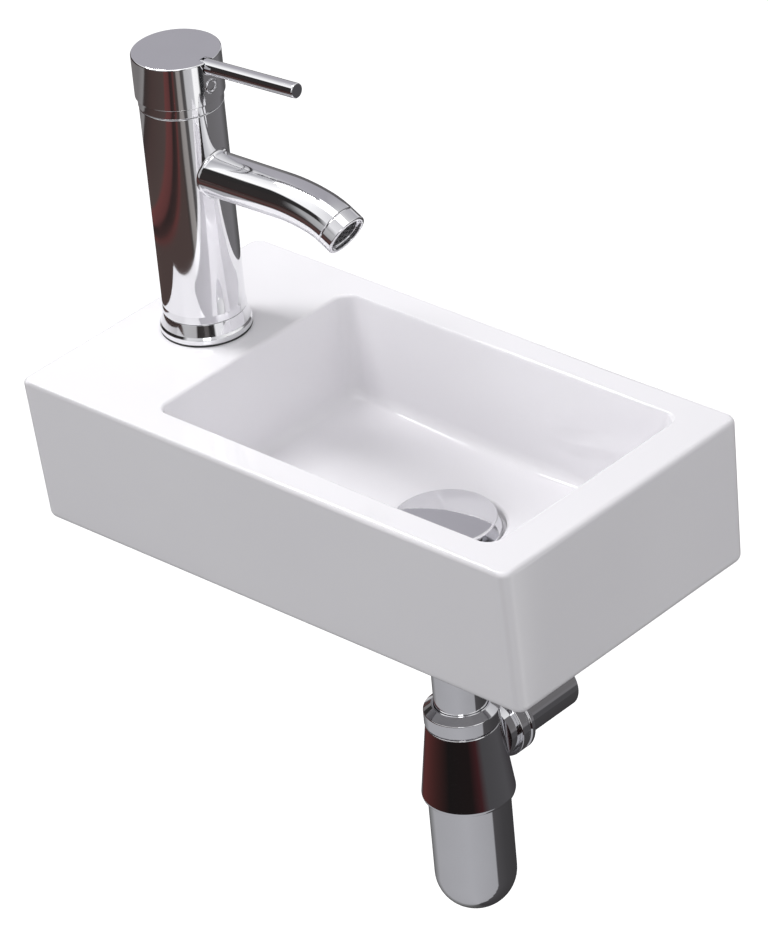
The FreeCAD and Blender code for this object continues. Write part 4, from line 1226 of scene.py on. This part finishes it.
@dataclass(frozen=True)
class Surroundings:
    """The world: white to the eye, soft light on matt faces, and toned bands in mirrors.

    The bands stand for the walls, windows and shadows of a room, in zones from below
    upwards.
    """

    zones: tuple[Zone, ...] = (
        Zone(bands(
            (-180, 0.30, 0.30, 0.31), (-168, 0.41, 0.41, 0.43), (-60, 0.46, 0.46, 0.485),
            (13, 0.39, 0.39, 0.41), (16, 0.080, 0.077, 0.081), (50, 0.060, 0.058, 0.061),
            (118, 0.045, 0.043, 0.045), (150, 0.12, 0.12, 0.12))),
        Zone(bands(
            (-180, 0.10, 0.03, 0.028), (-130, 0.045, 0.018, 0.017), (-95, 0.012, 0.010, 0.010),
            (-40, 0.014, 0.010, 0.010), (-18, 0.05, 0.016, 0.018), (0, 0.07, 0.068, 0.072),
            (60, 0.085, 0.083, 0.088), (130, 0.03, 0.025, 0.03)), -31.8, 1.6),
        Zone(bands(
            (-180, 0.03, 0.028, 0.028), (-126, 0.035, 0.03, 0.03), (-121, 0.42, 0.42, 0.43),
            (-104, 0.55, 0.55, 0.56), (-72, 0.50, 0.49, 0.50), (-68, 0.04, 0.035, 0.035),
            (-52, 0.05, 0.045, 0.045), (-49, 0.13, 0.12, 0.12), (-42, 0.12, 0.11, 0.11),
            (-38, 0.03, 0.028, 0.028), (-27, 0.03, 0.028, 0.028), (-23, 0.95, 0.95, 0.96),
            (-3, 0.9, 0.9, 0.92), (1, 0.06, 0.055, 0.06), (10, 0.10, 0.095, 0.10), (50, 0.22, 0.215, 0.225),
            (88, 0.14, 0.135, 0.14), (93, 0.8, 0.8, 0.82), (106, 0.75, 0.75, 0.77), (111, 0.12, 0.115, 0.12),
            (130, 0.16, 0.155, 0.16), (136, 0.62, 0.62, 0.63), (154, 0.55, 0.55, 0.56),
            (160, 0.05, 0.045, 0.045)), -13.0, 5.0),
        Zone(bands(
            (-180, 0.03, 0.028, 0.028), (-108, 0.03, 0.028, 0.028), (-96, 0.85, 0.85, 0.87),
            (-40, 0.6, 0.6, 0.62), (20, 1.1, 1.1, 1.1), (80, 0.6, 0.6, 0.62), (115, 0.42, 0.41, 0.45),
            (158, 0.47, 0.46, 0.50), (170, 0.03, 0.028, 0.028)), 14.0, 4.0),
        Zone(bands(
            (-180, 0.75, 0.75, 0.77), (-140, 1.3, 1.3, 1.3), (-90, 0.9, 0.9, 0.92), (-40, 0.6, 0.6, 0.62),
            (20, 1.1, 1.1, 1.1), (80, 0.6, 0.6, 0.62), (115, 0.42, 0.41, 0.45),
            (155, 0.47, 0.46, 0.50)), 30.0, 4.0))
    soft_tone: Colour = (0.98, 0.98, 1.0)
    soft_heights: Pair = (-0.6, 0.3)
    soft_strengths: Pair = (0.22, 0.44)

    def mirrored(self, wires: Wiring, height: Socket, compass: Socket) -> Socket:
        """Stack the zones' tones by height.

        Args:
            wires: the world's nodes.
            height: sine of the elevation.
            compass: share of the full turn from -X.

        Returns:
            The tone that mirrors see.
        """
        mixed: Socket | None = None
        for zone in self.zones:
            tone = wires.tones(compass, [*band_stops(zone.bands, -180.0), (1.0, zone.bands[0].tone)])
            if mixed is not None:
                blend = wires.node("ShaderNodeMix", data_type="RGBA")
                wires.join(wires.ranged(height, zone.sines(), smooth=True), blend.inputs["Factor"])
                # 6, 7 and 2 are the sockets that such a node keeps for colours
                wires.join(mixed, blend.inputs[6])
                wires.join(tone, blend.inputs[7])
                tone = blend.outputs[2]
            mixed = tone
        return mixed

    def build(self) -> None:
        """Make the world and its nodes."""
        world = bpy.data.worlds.new("studio")
        bpy.context.scene.world = world
        world.use_nodes = True
        wires = Wiring(world.node_tree)
        place, split = wires.node("ShaderNodeTexCoord"), wires.node("ShaderNodeSeparateXYZ")
        wires.join(place.outputs["Generated"], split.inputs[0])
        across, deep, height = split.outputs
        compass = wires.math("MULTIPLY_ADD", wires.math("ARCTAN2", deep, across), 0.5 / math.pi, 0.5)
        rays = wires.node("ShaderNodeLightPath")
        soft, mirror, white = (wires.node("ShaderNodeBackground") for _ in range(3))
        soft.inputs["Color"].default_value = (*self.soft_tone, 1.0)
        wires.join(wires.ranged(height, self.soft_heights, self.soft_strengths), soft.inputs["Strength"])
        white.inputs["Color"].default_value = (1.0, 1.0, 1.0, 1.0)
        wires.join(self.mirrored(wires, height, compass), mirror.inputs["Color"])
        lit = wires.mix(rays.outputs["Is Glossy Ray"], soft.outputs[0], mirror.outputs[0])
        seen = wires.mix(rays.outputs["Is Camera Ray"], lit, white.outputs[0])
        wires.join(seen, wires.node("ShaderNodeOutputWorld").inputs["Surface"])


@dataclass(frozen=True)
class TapScreen:
    """Toned screen that stands round the tap and shows only in its mirror finish.

    The screen is a cylinder, (cos a, sin a) * reach about the tap's axis.  Its tone follows the
    compass angle a, in degrees.  Left of the lean's start its stripes lean: a grows with the depth
    below the middle, by the lean per metre for each lean's span to the left, up to a limit.
    """

    middle: Point = (-0.137, -0.093, -0.043)
    reach: float = 0.45
    ends: Pair = (-0.18, 0.03)
    points: int = 180
    first: float = -220.0
    seam: float = 150.0
    lean: float = -950.0
    lean_start: float = -45.0
    lean_span: float = 90.0
    lean_limit: float = -62.0
    strip: tuple[Band, ...] = bands(
        (-220, 0.20, 0.19, 0.19), (-192, 0.28, 0.27, 0.27), (-185, 0.045, 0.035, 0.034),
        (-150, 0.075, 0.050, 0.047), (-104, 0.085, 0.062, 0.058), (-99, 0.15, 0.052, 0.050),
        (-84, 0.12, 0.045, 0.044), (-80, 0.03, 0.022, 0.022), (-70, 0.05, 0.030, 0.029),
        (-67.5, 0.14, 0.045, 0.043), (-65.5, 0.12, 0.045, 0.043), (-63, 0.085, 0.058, 0.054),
        (-56, 0.06, 0.05, 0.048), (-52, 0.30, 0.28, 0.27), (-42, 0.34, 0.32, 0.31),
        (-39, 0.08, 0.075, 0.075), (-33, 0.10, 0.095, 0.095), (-30, 0.55, 0.55, 0.56),
        (-12, 0.62, 0.62, 0.64), (-9, 1.15, 1.15, 1.15), (4, 1.1, 1.1, 1.1), (7, 0.02, 0.02, 0.022),
        (15, 0.03, 0.03, 0.032), (19, 0.16, 0.155, 0.16), (75, 0.19, 0.185, 0.195), (100, 0.10, 0.098, 0.10),
        (135, 0.13, 0.125, 0.13))

    def mesh(self) -> bpy.types.Mesh:
        """Make the open cylinder.

        Returns:
            The mesh.
        """
        turn = full_turn(self.points)
        ring = np.column_stack((self.middle[0] + self.reach * np.cos(turn),
                                self.middle[1] + self.reach * np.sin(turn)))
        points = np.concatenate([np.column_stack((ring, np.full(len(ring), z))) for z in self.ends])
        first = np.arange(len(ring))
        after = np.roll(first, -1)
        quads = np.column_stack((first, after, after + len(ring), first + len(ring)))
        mesh = bpy.data.meshes.new("tap_screen")
        mesh.from_pydata(points.tolist(), [], quads.tolist())
        return mesh

    def material(self) -> bpy.types.Material:
        """Make the glow whose tone follows the compass angle.

        Returns:
            The material.
        """
        material = bpy.data.materials.new("toned_screen")
        material.use_nodes = True
        wires = Wiring(material.node_tree)
        place, split = wires.node("ShaderNodeTexCoord"), wires.node("ShaderNodeSeparateXYZ")
        wires.join(place.outputs["Object"], split.inputs[0])
        across, deep, drop = (wires.math("SUBTRACT", *pair) for pair in zip(split.outputs, self.middle))
        angle = wires.math("MULTIPLY", wires.math("ARCTAN2", deep, across), 180.0 / math.pi)
        # angles past the seam count on from the other side, so that the ramp ends behind the tap
        past = wires.math("GREATER_THAN", angle, self.seam)
        angle = wires.math("SUBTRACT", angle, wires.math("MULTIPLY", past, 360.0))
        leftness = wires.math("MAXIMUM", wires.math("SUBTRACT", self.lean_start, angle), 0.0)
        leftness = wires.math("MULTIPLY", leftness, 1.0 / self.lean_span)
        lean = wires.math("MULTIPLY", wires.math("MULTIPLY", drop, self.lean), leftness)
        limit = wires.math("MAXIMUM", angle, self.lean_limit)
        leaning = wires.math("MINIMUM", wires.math("ADD", angle, lean), limit)
        share = wires.math("MULTIPLY_ADD", leaning, 1.0 / 360.0, -self.first / 360.0)
        glow = wires.node("ShaderNodeEmission")
        wires.join(wires.tones(share, band_stops(self.strip, self.first)), glow.inputs["Color"])
        wires.join(glow.outputs[0], wires.node("ShaderNodeOutputMaterial").inputs["Surface"])
        return material

    def build(self) -> None:
        """Stand the screen up, seen by glossy rays alone."""
        mesh = self.mesh()
        mesh.materials.append(self.material())
        screen = add("tap_screen", mesh)
        screen.visible_camera = screen.visible_diffuse = screen.visible_shadow = False
        screen.visible_transmission = screen.visible_volume_scatter = False


@dataclass(frozen=True)
class Lamp:
    """Rectangular soft light: its middle, the point that it faces, its width and height, and watts."""

    name: str
    place: Point
    target: Point
    size: Pair
    power: float
    mirrored: bool = True

    def build(self) -> None:
        """Hang the lamp, and hide it from glossy faces unless it is mirrored."""
        data = bpy.data.lights.new(self.name, "AREA")
        data.shape, data.size, data.size_y = "RECTANGLE", *self.size
        data.energy = self.power
        lamp = add(self.name, data)
        lamp.location, lamp.visible_glossy = self.place, self.mirrored
        aim = Vector(self.target) - Vector(self.place)
        lamp.rotation_euler = aim.to_track_quat("-Z", "Y").to_euler()


@dataclass
class Studio:
    """Camera, lamps, floor and the toned surroundings that the chrome mirrors."""

    eye: Point = (1.890826, -2.004402, 1.638960)
    azimuth: float = -45.253825
    elevation: float = 31.295210
    roll: float = 5.496322
    focal_share: float = 5500.0 / 936.0
    film: float = 36.0
    far: float = 50.0
    surroundings: Surroundings = Surroundings()
    lamps: tuple[Lamp, ...] = (
        Lamp("overhead", (0.0, -0.25, 1.9), (0.0, -0.1, 0.0), (1.0, 1.0), 5.0),
        Lamp("window", (-0.68, -0.30, 1.37), (0.0, -0.1, 0.05), (0.28, 0.6), 12.0),
        Lamp("corner", (0.9, -1.2, 0.95), (0.0, -0.1, 0.0), (0.5, 0.5), 2.0),
        Lamp("front", (-0.43, -1.69, 0.30), (0.0, -0.1, 0.0), (0.8, 0.8), 4.2, mirrored=False),
        Lamp("side", (1.62, 0.30, 0.30), (0.0, -0.1, 0.0), (0.8, 0.8), 4.1, mirrored=False))
    floor_reach: float = 14.0
    floor_height: float = -3.2
    screen: TapScreen = TapScreen()

    def camera(self) -> None:
        """Aim the camera along the photograph's view: azimuth, elevation and a small roll."""
        around, up = math.radians(self.azimuth), math.radians(self.elevation)
        back = Vector((math.cos(around) * math.cos(up), math.sin(around) * math.cos(up), math.sin(up)))
        right = Vector((0, 0, 1)).cross(back).normalized()
        lift = back.cross(right)
        turn = math.radians(self.roll)
        rolled = right * math.cos(turn) - lift * math.sin(turn)
        matrix = Matrix((rolled, back.cross(rolled), back)).transposed().to_4x4()
        matrix.translation = Vector(self.eye)
        data = bpy.data.cameras.new("camera")
        data.sensor_width, data.lens, data.clip_end = self.film, self.film * self.focal_share, self.far
        camera = add("camera", data)
        camera.matrix_world = matrix
        bpy.context.scene.camera = camera

    def floor(self) -> None:
        """Plain pale floor, low enough that the underside can be looked at from below."""
        mesh = bpy.data.meshes.new("floor")
        corners = [(x * self.floor_reach, y * self.floor_reach, self.floor_height)
                   for x, y in ((-1, -1), (1, -1), (1, 1), (-1, 1))]
        mesh.from_pydata(corners, [], [(0, 1, 2, 3)])
        shader = Shader("pale_floor")
        shader.tint(shader.noise(scale=0.8), (0.92, 0.92, 0.92), (0.9, 0.9, 0.9))
        shader.set(Roughness=0.9, Emission_Color=(1.0, 1.0, 1.0), Emission_Strength=0.75)
        mesh.materials.append(shader.material)
        floor = add("floor", mesh)
        floor.visible_glossy = floor.visible_diffuse = False

    def build(self) -> None:
        """Set up the whole studio."""
        self.camera()
        self.surroundings.build()
        for lamp in self.lamps:
            lamp.build()
        self.floor()
        self.screen.build()
        bpy.context.scene.view_settings.view_transform = "Standard"


# ------------------------------------------------------------------ everything
def main() -> None:
    """Load the frame, build every sub-assembly and set up the studio."""
    logging.basicConfig(level=logging.INFO, format="%(name)s: %(message)s")
    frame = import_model()
    shop = Workshop()
    shop.dress(frame)
    for assembly in (Basin(), Waste(), Trap(), Tap(), Handle()):
        assembly.build(shop)
    Studio().build()


if __name__ == "__main__":
    main()
